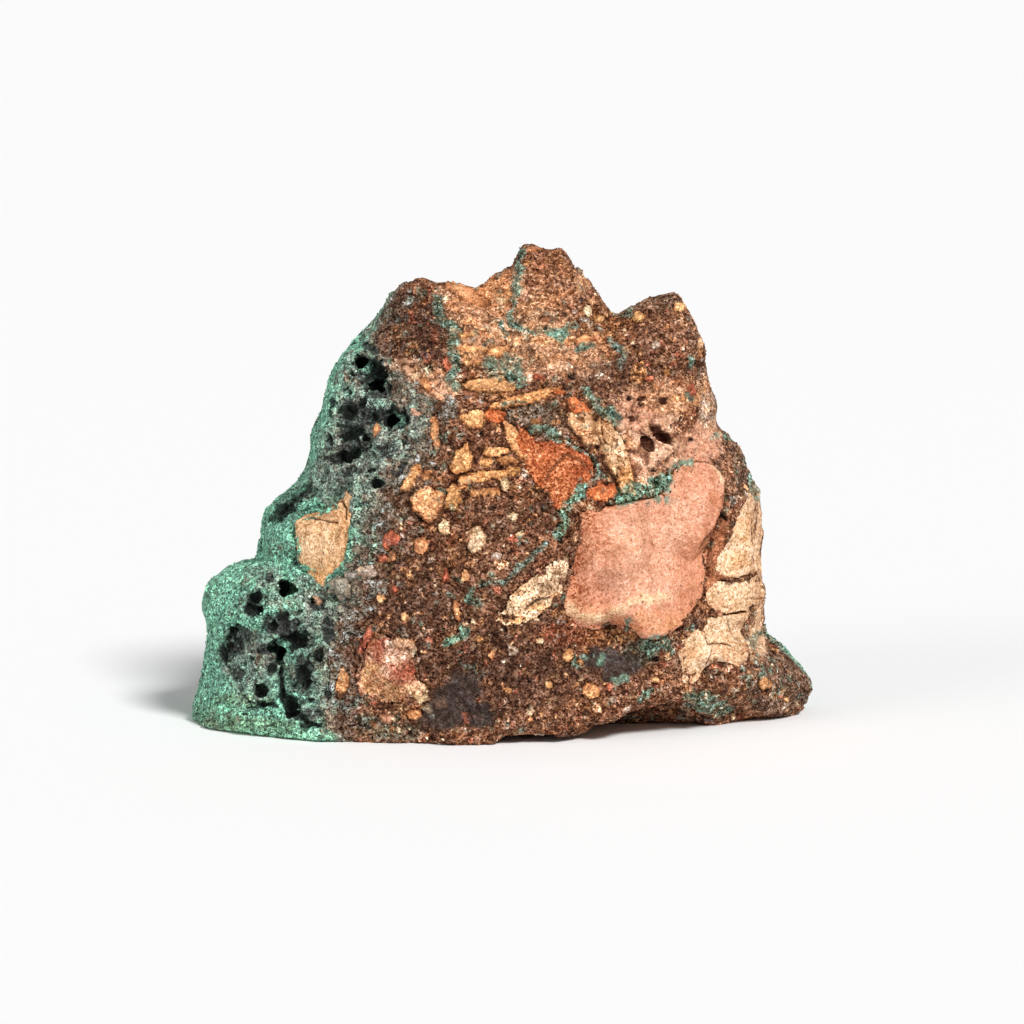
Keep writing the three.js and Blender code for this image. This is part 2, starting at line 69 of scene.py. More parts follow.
# Colours as they look in plain light, 0 to 255.
PALETTE = {
    "matrix": (128, 88, 66), "umber": (88, 60, 46), "smoke": (66, 55, 51), "russet": (150, 98, 70),
    "rosy": (208, 156, 118), "rose": (216, 162, 132), "pale_rose": (226, 180, 148),
    "strip": (216, 194, 174), "lump": (126, 104, 88), "toe": (120, 98, 82), "ochre": (172, 118, 74),
    "apricot": (222, 156, 108), "cream_stain": (230, 188, 148), "tan": (222, 164, 112),
    "cream": (232, 198, 158), "orange": (210, 122, 74), "straw": (224, 162, 104), "brick": (180, 100, 74),
    "bone": (184, 160, 140), "pebble": (158, 148, 136), "grey_green": (104, 116, 102),
    "green": (110, 134, 118), "bright": (108, 144, 124), "slate": (104, 122, 112),
    "velvet": (104, 158, 133), "velvet_light": (152, 208, 182), "velvet_deep": (50, 82, 68),
    "vuggy": (136, 133, 124), "vuggy_light": (164, 186, 172), "vuggy_dark": (55, 53, 52),
    # hollow is painted shade at the bottom of holes and clefts; pit is painted shade in holes and cracks, and
    # a dark smudge colour elsewhere.
    "vuggy_green": (112, 144, 126), "ochre_green": (122, 134, 92), "hollow": (24, 25, 23),
    "pit": (46, 27, 19), "maroon": (80, 42, 29), "salmon": (216, 154, 125), "salmon_warm": (208, 140, 104),
    "salmon_pale": (232, 178, 148), "salmon_edge": (184, 116, 80), "flame": (187, 107, 66),
    "flame_deep": (160, 78, 47), "flame_pale": (208, 136, 96), "wood": (228, 190, 154),
    "wood_grey": (168, 140, 112), "shell": (230, 184, 138), "shell_pale": (242, 202, 162),
    "shell_stain": (190, 144, 106), "slab": (212, 166, 124), "slab_dark": (154, 108, 74),
    "slab_pale": (224, 188, 154), "block": (228, 187, 150), "block_pale": (240, 206, 170),
    "block_stain_and_shade": (186, 142, 106), "rust": (200, 146, 118), "rust_red": (172, 90, 66),
    "rust_yellow": (218, 166, 118), "rust_pink": (234, 198, 174), "rust_shade": (116, 72, 46),
}

# ---- what lies where on the broken face: across, up, half width, half height, and what follows ----
# The outline of the whole specimen, all the way round: across and up.
OUTLINE = [
    (-54.5, -2), (-55.4, 1), (-54.5, 4.6), (-53.4, 8.6), (-52.5, 14), (-52.5, 17.2), (-53.4, 19),
    (-53.4, 21.2), (-52.1, 24.8), (-49.4, 26.9), (-45.8, 28.4), (-43.5, 28), (-43.5, 31.1), (-42.8, 34.7),
    (-42.2, 37.4), (-39.9, 39.5), (-36.8, 41.9), (-34.9, 44.6), (-34, 48.2), (-33.8, 51.8), (-32, 55.4),
    (-31.1, 59.9), (-29.6, 63.5), (-26.9, 67.1), (-24.2, 70.1), (-21.5, 73), (-19.7, 76.1), (-17.9, 78.2),
    (-14.7, 79.5), (-11.6, 78.4), (-8.9, 78.8), (-6.2, 77.9), (-3.5, 77.7), (-1.2, 79.7), (1.9, 81.7),
    (3.3, 83.3), (3.8, 85.3), (6.4, 85.1), (8.7, 84.4), (10.5, 84.9), (11.9, 83.8), (12.7, 82.2),
    (14.5, 81.3), (16.3, 78.6), (18.1, 76.1), (19, 74.3), (20.8, 72.3), (23.1, 73.7), (26.2, 75.5),
    (28.5, 76.3), (30.3, 76.6), (32.5, 76.4), (33.5, 73.7), (35.2, 71.2), (36.6, 68), (37.3, 65.8),
    (37.3, 62.6), (38, 59.4), (39.1, 57.2), (39.1, 52.7), (41.5, 50.9), (43.6, 48.5), (44.3, 46),
    (45.2, 43.7), (46.9, 41), (47.2, 38.3), (47.6, 32.9), (47.2, 28.4), (47.2, 24.8), (48.1, 23),
    (47.8, 17.6), (48.7, 14.9), (51.4, 12.5), (54.1, 9.5), (55.9, 6.8), (56.2, 4.6), (55.1, 1.4),
    (52.3, 0.1), (49.6, 1), (46, 1.7), (42.4, 1.6), (39.3, 0.7), (34.3, 1), (34.1, 3.7), (30.7, 4.1),
    (28.9, 2.6), (26.2, 1.2), (22, 0.9), (18.1, 0.3), (16.3, -1.1), (14.1, -2.4), (11.8, -1.3), (8.2, -1.1),
    (5.5, -0.1), (1.9, -0.2), (-0.8, -1.5), (-4.1, -2.8), (-8.9, -2.4), (-13.4, -2.9), (-17.6, -3.8),
    (-20.6, -3.5), (-23.3, -2.4), (-26, -2.4), (-29.1, -4), (-32.3, -3.6), (-37.7, -3.5), (-42.2, -2.9),
    (-46.7, -2.6), (-50.3, -2.9),
]
# Stains: colour and strength. A later one lies over an earlier one.
BRECCIA_STAINS = [
    (-14.7, 68.9, 6.8, 6.6, "umber", 1), (-18.8, 73, 2.5, 2.9, "umber", 0.9),
    (8.7, 77.9, 4.7, 7.6, "russet", 0.9), (15, 79.7, 1.4, 2.9, "cream_stain", 0.9),
    (-3, 74, 6, 5, "apricot", 0.5), (8.5, 64.5, 11, 4, "pale_rose", 0.6),
    (-2, 59.5, 5.5, 2.6, "ochre", 0.7), (6, 71, 6.5, 3.5, "cream_stain", 0.45),
    (17, 69.8, 4, 4.5, "russet", 0.7), (3, 74.5, 2.4, 3.4, "russet", 0.5), (4, 33, 7, 5, "russet", 0.45),
    (5, 55, 6, 2, "grey_green", 0.5), (0.1, 77.9, 4.3, 3.6, "apricot", 0.85),
    (-5.3, 75.2, 4.7, 2.5, "apricot", 0.6), (-8.9, 77, 2.5, 1.4, "rosy", 0.6),
    (7.3, 66.2, 11.2, 4.7, "rosy", 0.9), (-3.5, 68, 4.7, 5.4, "rosy", 0.7),
    (18.1, 69.8, 4, 5.4, "ochre", 0.6), (29.8, 68.9, 6.1, 6.8, "matrix", 0.9),
    (25.3, 62.6, 5.4, 4.7, "umber", 0.55), (-12.5, 59.9, 6.1, 2.5, "pale_rose", 0.9),
    (-17, 62.9, 3.2, 1.8, "pale_rose", 0.8), (26.2, 53.6, 6.1, 5.4, "rose", 1),
    (25.3, 46.8, 4.7, 4.7, "rose", 1), (34.3, 47.3, 4, 4, "rose", 0.8), (31, 58.1, 5.4, 3.2, "rosy", 0.8),
    (37.9, 56.3, 1.9, 6.5, "strip", 1), (42.4, 46, 3.6, 6.1, "lump", 1),
    (42.8, 46.5, 3.2, 5.4, "umber", 0.55), (38.4, 26, 1.5, 5, "salmon_edge", 0.9),
    (36, 47.8, 3.2, 3, "salmon", 1), (36, 50.8, 2, 2.2, "salmon_pale", 0.9),
    (39.7, 35.4, 1.4, 5, "salmon_edge", 0.8), (39.4, 31, 1.2, 4, "salmon_edge", 0.8),
    (9.4, 77, 4.2, 6.5, "rosy", 0.15), (34, 54, 1.6, 4, "russet", 0.8), (46.9, 33, 1.4, 7, "block", 1),
    (47.6, 26.4, 1, 4, "block", 1), (46.9, 19.4, 1.2, 4, "block", 0.9), (46.2, 14, 1.8, 4, "block", 0.9),
    (38.4, 33, 1.8, 4, "russet", 0.9), (-25.2, -1.6, 4.6, 2.4, "grey_green", 0.85),
    (-18.4, -2.6, 4.6, 1.7, "grey_green", 0.8), (-27, 5, 2, 5, "vuggy", 0.6),
    (-20, 24.5, 6, 4, "umber", 0.6), (-24.5, 17, 2.4, 7, "umber", 0.7), (-16, 30, 5, 4, "umber", 0.45),
    (-21, 31, 2.2, 6, "grey_green", 0.6), (40, 39.2, 1.6, 2.5, "umber", 0.8),
    (38.8, 31.1, 2.2, 6.1, "matrix", 0.9), (5.5, 54.5, 5.4, 2.5, "lump", 0.8),
    (18.1, 52.7, 4.3, 3.6, "lump", 0.6), (-8.9, 44.6, 9, 10.8, "matrix", 0.8),
    (-17.9, 39.2, 4.7, 10.8, "lump", 0.7), (0.1, 32, 9, 9, "matrix", 0.9),
    (-5.3, 35.6, 3.6, 2.2, "umber", 0.5), (1, 35.6, 4.3, 4, "umber", 0.7),
    (7.3, 35.6, 4, 2.9, "umber", 0.5), (-12.5, 18.5, 9.7, 7.9, "umber", 0.9),
    (3.7, 10.4, 10.8, 9, "umber", 0.9), (18.1, 11.3, 9, 4.7, "umber", 0.8),
    (-9.8, 1.4, 4.2, 3.6, "smoke", 1), (-6.8, 4.6, 3.4, 3.6, "smoke", 1), (-3.6, 0.4, 3, 2.4, "smoke", 0.9),
    (18.6, 10.6, 3.2, 1.8, "smoke", 1), (23.2, 9.2, 3, 2.2, "smoke", 1), (20.6, 7.6, 2.6, 1.5, "smoke", 1),
    (5.5, 8.6, 8, 5.5, "umber", 0.7), (-15, 71, 5, 5, "pit", 0.25), (10.9, 14, 5.4, 2.9, "russet", 0.6),
    (25.3, 5, 9, 4.3, "matrix", 0.8), (10.9, 3.2, 7.2, 3.6, "matrix", 0.6),
    (1.9, 3.2, 3.6, 2.9, "umber", 0.5), (50.8, 6.1, 6.5, 6.1, "toe", 1), (44.2, 5, 5.4, 2.9, "matrix", 0.8),
    (25.3, 11.3, 3.6, 2.5, "grey_green", 0.7), (-28.7, 3.2, 2.9, 6.1, "umber", 0.8),
    (-26.6, 14, 2.5, 7.2, "umber", 0.7), (-27.8, 21.2, 2.5, 3.6, "umber", 0.6),
    (36.1, 70.7, 2.5, 4.7, "lump", 0.8), (28, 75.2, 5.4, 1.8, "lump", 0.8),
    (12.7, 83.8, 1.8, 1.4, "lump", 0.6), (3.7, 19.4, 4.3, 2.5, "umber", 0.6),
    (-5.3, 24.8, 5.4, 3.6, "matrix", 0.7), (10.9, 52.7, 2.5, 2.5, "lump", 0.6),
    (13.6, 60.8, 4, 2.5, "umber", 0.6), (19.9, 61.7, 4.7, 3.6, "umber", 0.6),
    (12.5, 15.3, 5, 2.4, "flame_deep", 0.7), (19.5, 14.6, 5, 1.6, "ochre", 0.7),
    (37.4, 49.4, 2.6, 3, "salmon_pale", 0.9), (41, 44.6, 1.2, 2.6, "salmon_warm", 0.8),
    (40, 36.5, 1.8, 5.5, "russet", 0.8), (-12.5, 22, 6, 6, "umber", 0.6),
    (27.4, 50, 2.6, 2.8, "flame_deep", 0.5), (-8, 10, 8, 5, "umber", 0.7), (12, 7.5, 7, 3.5, "umber", 0.7),
    (-15.5, 66.5, 1.2, 1.2, "ochre", 0.7), (-18.9, 69.6, 1.2, 1.5, "ochre", 0.7),
    (-15.8, 72.2, 0.6, 1.2, "brick", 0.8), (-13.3, 64.8, 0.8, 0.8, "brick", 0.8),
    (-11.6, 68.4, 0.7, 1.4, "brick", 0.7),
]
# Broken pieces in the breccia: turn in degrees and colour.
CLASTS = [
    (-12.9, 38.6, 3.1, 2.7, 10, "tan"), (-8.6, 39.7, 1.3, 2, 0, "tan"), (-6.8, 46.8, 1.6, 2.8, -15, "tan"),
    (-11.6, 51.4, 0.7, 3.4, 4, "apricot"), (-16, 43.1, 0.8, 2.7, -35, "tan"),
    (-13.1, 43.7, 0.9, 0.7, 0, "apricot"), (-6.8, 42.2, 1.6, 0.7, 20, "apricot"),
    (-5.4, 43, 2.4, 0.5, 12, "cream"), (1, 42.2, 0.7, 1.1, 0, "cream"), (-3.4, 43.4, 4.6, 0.9, 9, "tan"),
    (-2.4, 40.6, 3, 0.7, 4, "tan"), (-0.5, 48, 2.6, 0.9, 5, "tan"), (1.2, 46.2, 2, 0.7, -6, "ochre"),
    (-2.6, 46, 1.2, 0.8, 0, "straw"), (2.4, 44.5, 1.5, 0.7, 0, "straw"), (15.4, 52.6, 4.4, 2, -42, "slab"),
    (20.4, 47.6, 6.4, 2, -68, "slab"), (23, 42.6, 1.6, 2.6, 8, "straw"),
    (-16.6, 62.6, 1.5, 0.7, -38, "pale_rose"), (-13.4, 59.9, 1.1, 0.8, -38, "apricot"),
    (-11.4, 58.2, 1.3, 0.6, -30, "rosy"), (-14.9, 61.4, 0.8, 0.6, 0, "cream"),
    (-32.9, 21.2, 0.9, 0.7, 0, "pale_rose"), (-20.1, -0.1, 1, 1, 0, "rose"), (-3.4, 60.2, 3, 1, 4, "ochre"),
    (-5, 58.4, 1.4, 0.7, 0, "russet"), (-26.9, 25.6, 1.2, 0.9, 0, "pebble"),
    (-21, 28.6, 0.8, 0.7, 0, "brick"), (-19.6, 29, 0.7, 1.1, -20, "apricot"),
    (-10, 34.1, 1, 1.3, 0, "cream"), (-4.3, 31.8, 1.3, 2.6, -10, "cream"),
    (-14, 31.1, 1.1, 1.2, 0, "apricot"), (-19.6, 32, 1.3, 1.3, 0, "brick"),
    (-18.8, 23, 0.5, 0.7, 0, "brick"), (-9.8, 25.7, 0.6, 1.3, 0, "brick"),
    (-6.2, 25.7, 0.5, 1.2, 0, "apricot"), (-7.7, 19, 0.5, 1.9, 8, "apricot"),
    (2.4, 36.1, 0.9, 0.7, 0, "cream"), (-28.4, 6.2, 1, 2.1, 0, "apricot"),
    (-15.2, 0.5, 1.3, 0.9, 0, "apricot"), (16.3, 5, 1.2, 1.7, 10, "apricot"),
    (5.3, 1.2, 0.7, 0.9, 0, "cream"), (12.3, 11.3, 0.9, 1.1, 0, "tan"), (32.5, 73.9, 1.3, 0.7, 0, "tan"),
    (24.9, 71.9, 1.2, 0.9, 0, "tan"), (31.6, 65.3, 0.9, 0.4, 0, "brick"), (14.8, 67.4, 1.1, 1.3, 0, "tan"),
    (-9.5, 63.5, 0.7, 1.3, 0, "brick"), (-4.4, 53.6, 2.4, 1.4, 0, "tan"),
    (-0.8, 54.5, 1.6, 1.3, 0, "orange"), (-1.7, 59.9, 4.7, 1.3, 3, "tan"), (4.9, 57.6, 6.4, 1, 15, "straw"),
    (-6.4, 76.6, 3.8, 1, -26, "apricot"), (14.1, 56.3, 2.2, 1.1, -28, "orange"),
    (18.1, 40.5, 2.7, 1.1, 3, "orange"), (20.6, 47.8, 0.6, 2.5, -8, "cream"),
    (-28.7, 23.4, 1.9, 2, 0, "pebble"), (-23.9, 26.2, 1.9, 1.1, -10, "bone"),
    (-17.6, 12.2, 2.2, 2.3, 20, "pale_rose"), (-14.2, 4.6, 1.3, 1.6, 0, "cream"),
    (-24.1, 14, 0.7, 2.9, -25, "brick"), (47.8, 6.2, 1.1, 1.1, 0, "tan"), (2.9, 50, 1.2, 4, 30, "tan"),
    (6.6, 52.6, 0.8, 1.6, 20, "ochre"), (36.1, 67.1, 0.5, 1.1, 0, "rosy"),
    (10.9, 58.6, 1.1, 0.5, 0, "orange"), (7.3, 61.1, 1.3, 0.5, 0, "brick"), (0.1, 66.2, 2, 0.9, 5, "tan"),
    (8.7, 71.9, 1.3, 0.5, 0, "russet"), (28, 67.1, 0.7, 0.7, 0, "bone"), (34.3, 59, 0.8, 1.3, 0, "brick"),
    (-15.2, 55, 0.9, 0.4, -30, "pale_rose"), (-5.7, 68.9, 2, 0.4, 4, "straw"),
    (-4.4, 66.5, 2.3, 0.4, -3, "tan"), (-5, 64, 2, 0.4, 3, "tan"), (-8, 69.8, 0.9, 0.5, 0, "cream"),
    (0.1, 75.2, 1.1, 0.6, 0, "cream"), (-2.5, 80.2, 1.3, 0.5, -20, "apricot"),
    (5.8, 84.2, 1.4, 0.4, 0, "apricot"), (18.1, 71.9, 0.9, 0.7, 0, "tan"), (15.9, 73, 0.7, 0.9, 0, "cream"),
    (-22.3, 51.8, 0.6, 1.3, -20, "apricot"), (-16.1, 25.7, 0.7, 0.5, 0, "tan"),
    (-12.4, 28.4, 0.8, 0.5, 0, "bone"), (-0.7, 29.1, 0.8, 0.6, 0, "bone"),
    (3.7, 32.9, 0.6, 0.6, 0, "cream"), (-17, 18.1, 0.6, 0.8, 0, "tan"), (-21.5, 21.6, 0.7, 0.6, 0, "tan"),
    (-12.9, 14, 0.7, 0.7, 0, "brick"), (-3.9, 14, 0.7, 0.5, 0, "tan"), (-1.4, 11.3, 0.5, 0.7, 0, "apricot"),
    (7.3, 14, 0.8, 0.5, 0, "cream"), (1.5, 5, 0.6, 0.5, 0, "tan"), (9.1, 5.9, 0.6, 0.8, 0, "tan"),
    (20.2, 3.2, 0.8, 0.5, 0, "bone"), (28, 6.8, 0.8, 0.6, 0, "tan"), (42.4, 5, 0.7, 0.5, 0, "bone"),
    (51.4, 3.2, 0.5, 0.5, 0, "tan"), (21.7, 14, 0.6, 0.5, 0, "tan"), (26.7, 61.1, 0.8, 0.6, 0, "brick"),
    (22.6, 65.8, 0.7, 0.9, 0, "ochre"), (30.1, 62.2, 0.8, 0.6, 0, "ochre"),
]
# Green veins: colour, width and course.
VEINS = [
    ("green", 1.5, [(-11.3, 75.2), (-10.7, 71.9), (-8.6, 70.7), (-8, 67.1), (-8.4, 64), (-8.9, 61.1),
        (-7.7, 59.4)]),
    ("green", 1.1, [(3.7, 85.1), (3.5, 80.6), (2.9, 77), (2.8, 74.3), (1.9, 71.6), (3.7, 70.1), (5.5, 69.4),
        (8.2, 69.8), (10, 68.9), (12.3, 70.1), (13.6, 70.7)]),
    ("bright", 0.9, [(8.2, 69.1), (10.1, 68.5), (11.8, 69.4)]), ("green", 3.4, [(-0.7, 63.3), (2.6, 62.4)]),
    ("green", 1.4, [(15.4, 59), (17.2, 56.8), (19, 55), (20.8, 53.9)]),
    ("green", 0.7, [(11.8, 50), (14.5, 48.5), (17.2, 46.4), (18.1, 43.7)]),
    ("bright", 1.4, [(14.5, 41.4), (14.1, 40.1), (12.3, 38.3), (11.2, 36.5), (11.8, 34.7), (10.9, 32.9)]),
    ("bright", 2.2, [(22, 39.7), (25.3, 41), (28, 41.5), (29.6, 42.1)]),
    ("green", 0.9, [(29.6, 41.9), (31.6, 45), (34.3, 45.9)]),
    ("slate", 0.9, [(8.2, 31.1), (5.5, 28.8), (2.8, 26.6), (1.5, 24.8), (0.1, 24.2), (-3.5, 23.9)]),
    ("green", 0.7, [(-5.3, 23), (-6.1, 20.8)]), ("bright", 1.1, [(-9.5, 13.4), (-6.4, 15.8)]),
    ("green", 0.8, [(23.1, 17.9), (23.1, 16.5)]), ("green", 2.2, [(26.2, 13.1), (30.3, 13.1)]),
    ("green", 1.1, [(18.1, 10.9), (18.1, 9.8)]), ("green", 0.9, [(13.6, 10.7), (13.6, 9.7)]),
    ("green", 1.1, [(20.8, 6.8), (22.7, 6.8)]), ("green", 0.7, [(0.1, 56.6), (4.6, 56.6)]),
    ("green", 0.7, [(33.4, 58.6), (34.3, 57.5)]), ("green", 0.7, [(34.3, 65.1), (34.3, 63.3)]),
    ("green", 1.3, [(10.9, 50), (8.7, 51.4), (6, 51.8)]), ("slate", 0.7, [(18.1, 43.5), (16.6, 42.8)]),
    ("green", 0.9, [(38.2, 50.5), (41.5, 50.9)]), ("green", 1.1, [(45.1, 43.1), (46.1, 41)]),
    ("green", 2.6, [(34.9, 3.4), (37.6, 2.4), (40.1, 2)]), ("green", 0.9, [(44.7, 14), (47.6, 15.1)]),
    ("green", 1.3, [(20.9, 72.7), (23.1, 73.2)]), ("slate", 0.9, [(19.9, 68), (22.4, 65.8), (21.7, 63.3)]),
    ("green", 0.7, [(0.1, 71.6), (1, 68.9)]), ("green", 0.9, [(14.1, 66.2), (16.3, 67.1)]),
    ("green", 1.1, [(-23.3, 35.6), (-23, 28.4)]), ("green", 0.9, [(-17.9, 58.1), (-12.5, 56.8)]),
    ("green", 0.9, [(26.8, 14), (27.4, 11.3)]), ("green", 0.7, [(24.9, 3.2), (27.1, 5)]),
]
# Malachite that has grown over the edges of the aragonite.
GREEN_SPILLS = [
    (28.9, 39.2, 3.6, 1.4), (15.4, 39.2, 2.2, 1.4), (13, 35.6, 1.8, 2.5), (27.1, 14, 4, 1.1),
    (29.8, 11.3, 2.5, 2.5), (25.3, 10.4, 1.4, 2.5), (39.3, 18.3, 2.2, 0.7), (38.4, 25.7, 0.9, 1.8),
    (47.8, 8.9, 1.4, 1.4), (49.6, 14, 0.9, 2.2), (44.2, 40.6, 1.8, 1.1), (46.3, 40.1, 1.1, 1.8),
]
# Hollows: turn in degrees and depth.
MALACHITE_VUGS = [
    (-38.6, 23.4, 1.5, 1.7, 0, 3.5), (-43.8, 21.9, 1.7, 1, 0, 2.5), (-43.9, 19.2, 1.6, 1.2, 0, 2.5),
    (-37.2, 13.8, 3.6, 1.9, 14, 3.5), (-35.9, 6.8, 2.2, 1.8, 0, 3), (-42.8, 5, 1.2, 1.3, 0, 2.5),
    (-37.7, 2.5, 1.3, 2, 0, 3.5), (-39.4, 6.8, 0.5, 3.8, 0, 3), (-42.8, 2.3, 2.9, 0.4, 12, 2),
    (-34, -1.5, 2, 0.9, 0, 2), (-39.2, 37.4, 1.4, 1.9, 0, 3.5), (-26, 67.1, 1.3, 0.5, 0, 2),
    (-24.4, 63.9, 2.6, 1.7, 10, 3.5), (-22.3, 61.7, 3.2, 2, -35, 4), (-21, 62.9, 1.1, 0.8, 0, 3),
    (-27.8, 59.4, 0.8, 0.5, 0, 2), (-18.9, 54.3, 1.6, 2.5, -25, 3.5), (-24.8, 56.6, 0.9, 1.4, 0, 2.5),
    (-27.8, 55, 1.5, 1.3, 0, 2.5), (-30.2, 56.8, 0.5, 1, 0, 2), (-30.5, 54.7, 0.4, 0.9, 0, 2),
    (-30.7, 50.5, 0.5, 1, 0, 2), (-27, 50.8, 2.6, 1.4, 15, 3), (-28.7, 52.7, 1.3, 0.7, 0, 2),
    (-25.4, 47.6, 2.6, 1.5, 20, 3), (-28.7, 46.9, 1, 0.9, 0, 2.5), (-22.3, 42.2, 1, 0.8, 0, 2),
    (-34.4, 42, 1, 0.4, 40, 1.2), (-36.3, 40.3, 1.6, 0.8, 48, 3), (-48.2, 15.2, 2, 0.6, 50, 2.5),
    (-49.8, 11.8, 0.6, 2.2, 8, 2.5), (-41.3, 8.9, 0.9, 0.7, 0, 2), (-32.7, 11.3, 0.7, 1.3, 0, 2),
    (-44.9, 10.4, 0.7, 0.6, 0, 1.5), (-34.1, 3.2, 0.8, 0.7, 0, 2), (-45.8, 0.5, 0.9, 0.4, 0, 1.5),
    (-23.3, 44.6, 0.9, 0.5, 0, 1.5), (-33.8, 21.2, 0.7, 0.5, 0, 1.5), (-35.9, 19, 0.8, 0.5, 0, 1.5),
    (-41.3, 16.7, 0.8, 0.5, 0, 1.8), (-17, 50, 0.7, 0.7, 0, 1.5), (-31.4, 17.6, 0.5, 0.8, 0, 1.5),
    (-24.2, 50.4, 0.8, 0.6, 0, 2), (-23, 54.5, 0.6, 0.8, 0, 2), (-26.6, 62.2, 0.6, 0.6, 0, 2),
    (-24.1, 59.4, 0.6, 0.5, 0, 2),
]
# Charcoal patches in the torn face of the malachite, like the hollows but shallow.
CHARCOAL = [
    (-44.4, 20.3, 1.8, 2.4, 15, 0.8), (-48.2, 13.1, 4.4, 1.5, 58, 0.8), (-38.8, 15.6, 3.4, 3.2, 0, 0.8),
    (-23.2, 62.1, 4, 2.7, -30, 0.9), (-27.2, 52.2, 2.4, 3.2, 0, 0.7), (-28, 46.8, 3.4, 1.1, 8, 0.7),
    (-40.3, 17, 3, 2.2, 20, 0.8), (-38.2, 13.4, 3.2, 1.8, 0, 0.8), (-35.6, 8, 1.9, 2.4, 0, 0.9),
    (-43.4, 4.9, 1.2, 1.3, 0, 0.6), (-37.4, 2.2, 1.4, 2.2, 20, 1), (-33.2, 0.8, 1.2, 1.2, 0, 0.5),
    (-41.5, 25.4, 1.1, 1, 0, 0.6), (-24.6, 54.6, 3.4, 2.2, -10, 0.7), (-27.4, 56.6, 1.2, 1.8, 0, 0.5),
    (-26.6, 49, 3, 2, 0, 0.7), (-18.6, 54, 2, 2.8, -20, 0.8), (-22.5, 58.5, 2.6, 1.4, 0, 0.6),
    (-20, 48.2, 2.4, 1.3, 20, 0.5), (-30.8, 49.6, 0.8, 1.8, 0, 0.6), (-22.3, 42.2, 1.3, 0.9, 0, 0.6),
    (-31, 15.5, 1.3, 2.6, 0, 0.5), (-33, 20.5, 1.6, 1.2, 0, 0.5), (-47, 8.2, 1.2, 1.4, 0, 0.5),
    (-40.8, 9.2, 1.3, 1.5, 0, 0.6), (-30.6, 5, 1.2, 2, 0, 0.5), (-23.6, 66.6, 2.2, 0.9, -20, 0.5),
    (-27.2, 44.2, 2, 1, 20, 0.5), (-42, 12.2, 1.6, 1, 30, 0.5), (-17.6, 44.8, 1.4, 1.6, 0, 0.4),
]
# Long torn clefts in it: width, depth and course.
GASHES = [
    (1.3, 2.2, [(-35, 41.2), (-37, 39), (-39.4, 37), (-41, 35.6)]),
    (0.8, 1.5, [(-39.4, 13), (-39.6, 9.5), (-39.2, 6.3), (-39, 3)]),
    (1.4, 1.8, [(-38.9, 4.2), (-37.4, 1.6), (-35.4, -0.2)]),
    (0.7, 1, [(-45, 3.4), (-42.6, 2.6), (-40.2, 2.4)]),
]
# Holes: turn in degrees and depth.
BRECCIA_HOLES = [
    (2.8, 70.5, 1, 0.4, 0, 1), (8.2, 70.1, 0.4, 0.5, 0, 1), (6.9, 64.7, 0.5, 0.5, 0, 1),
    (13, 61.5, 0.8, 0.7, 0, 1), (1.9, 61.1, 1.1, 0.5, 0, 1.2), (14.5, 42.2, 0.6, 1.2, 0, 2),
    (28.3, 42.1, 0.7, 0.9, 0, 1.6), (31, 52.7, 0.5, 0.4, 0, 0.8), (39.8, 36.3, 1.5, 0.5, 0, 2),
    (40.2, 36.1, 1.4, 0.4, -5, 2), (-24.2, 12.2, 0.5, 0.5, 0, 1.5), (23.1, 57.5, 0.6, 0.4, 0, 1),
    (25.3, 56.3, 0.6, 0.5, 0, 1.2), (28, 44.6, 0.5, 0.4, 0, 1), (34.6, 50, 0.6, 0.5, 0, 1),
    (-11.6, 45, 0.4, 0.5, 0, 1), (0.1, 45, 0.5, 0.5, 0, 1), (-14.3, 35.6, 0.5, 0.6, 0, 1),
    (-1.4, 37.8, 0.7, 0.5, 0, 1), (10.9, 32, 0.5, 0.6, 0, 1.2), (10.5, 34.7, 0.4, 0.7, 0, 1.2),
    (2.2, 39.7, 0.6, 0.4, 0, 1), (18.1, 14, 0.7, 0.5, 0, 1.2), (28, 10.4, 0.7, 0.6, 0, 1.2),
    (34.3, 14, 0.5, 0.7, 0, 1), (-3.5, 51.4, 0.4, 0.4, 0, 0.8), (-9.8, 31.1, 0.4, 0.4, 0, 0.8),
    (1, 15.8, 0.5, 0.4, 0, 0.8), (-18.5, 19.4, 0.4, 0.4, 0, 0.8),
]
# Torn holes in the pink part.
TORN_HOLES = [
    (26.6, 49.2, 1.7, 1, -55, 1), (29.6, 50.6, 1.5, 0.8, -25, 1), (28.4, 52.3, 0.9, 0.5, 30, 0.7),
    (23.9, 54, 0.7, 0.5, -40, 0.6), (29.4, 57, 0.9, 0.7, 0, 0.6), (25.5, 57.3, 0.8, 0.5, 20, 0.6),
]
# Needles round a hollow: across, up, how far they reach, and the colours of needles and hollow.
BURSTS = [
    (28, 50.4, 5.6, "pale_rose", "maroon"), (23.6, 54.6, 3.4, "rose", "maroon"),
    (31.4, 47.6, 3, "pale_rose", "maroon"),
]
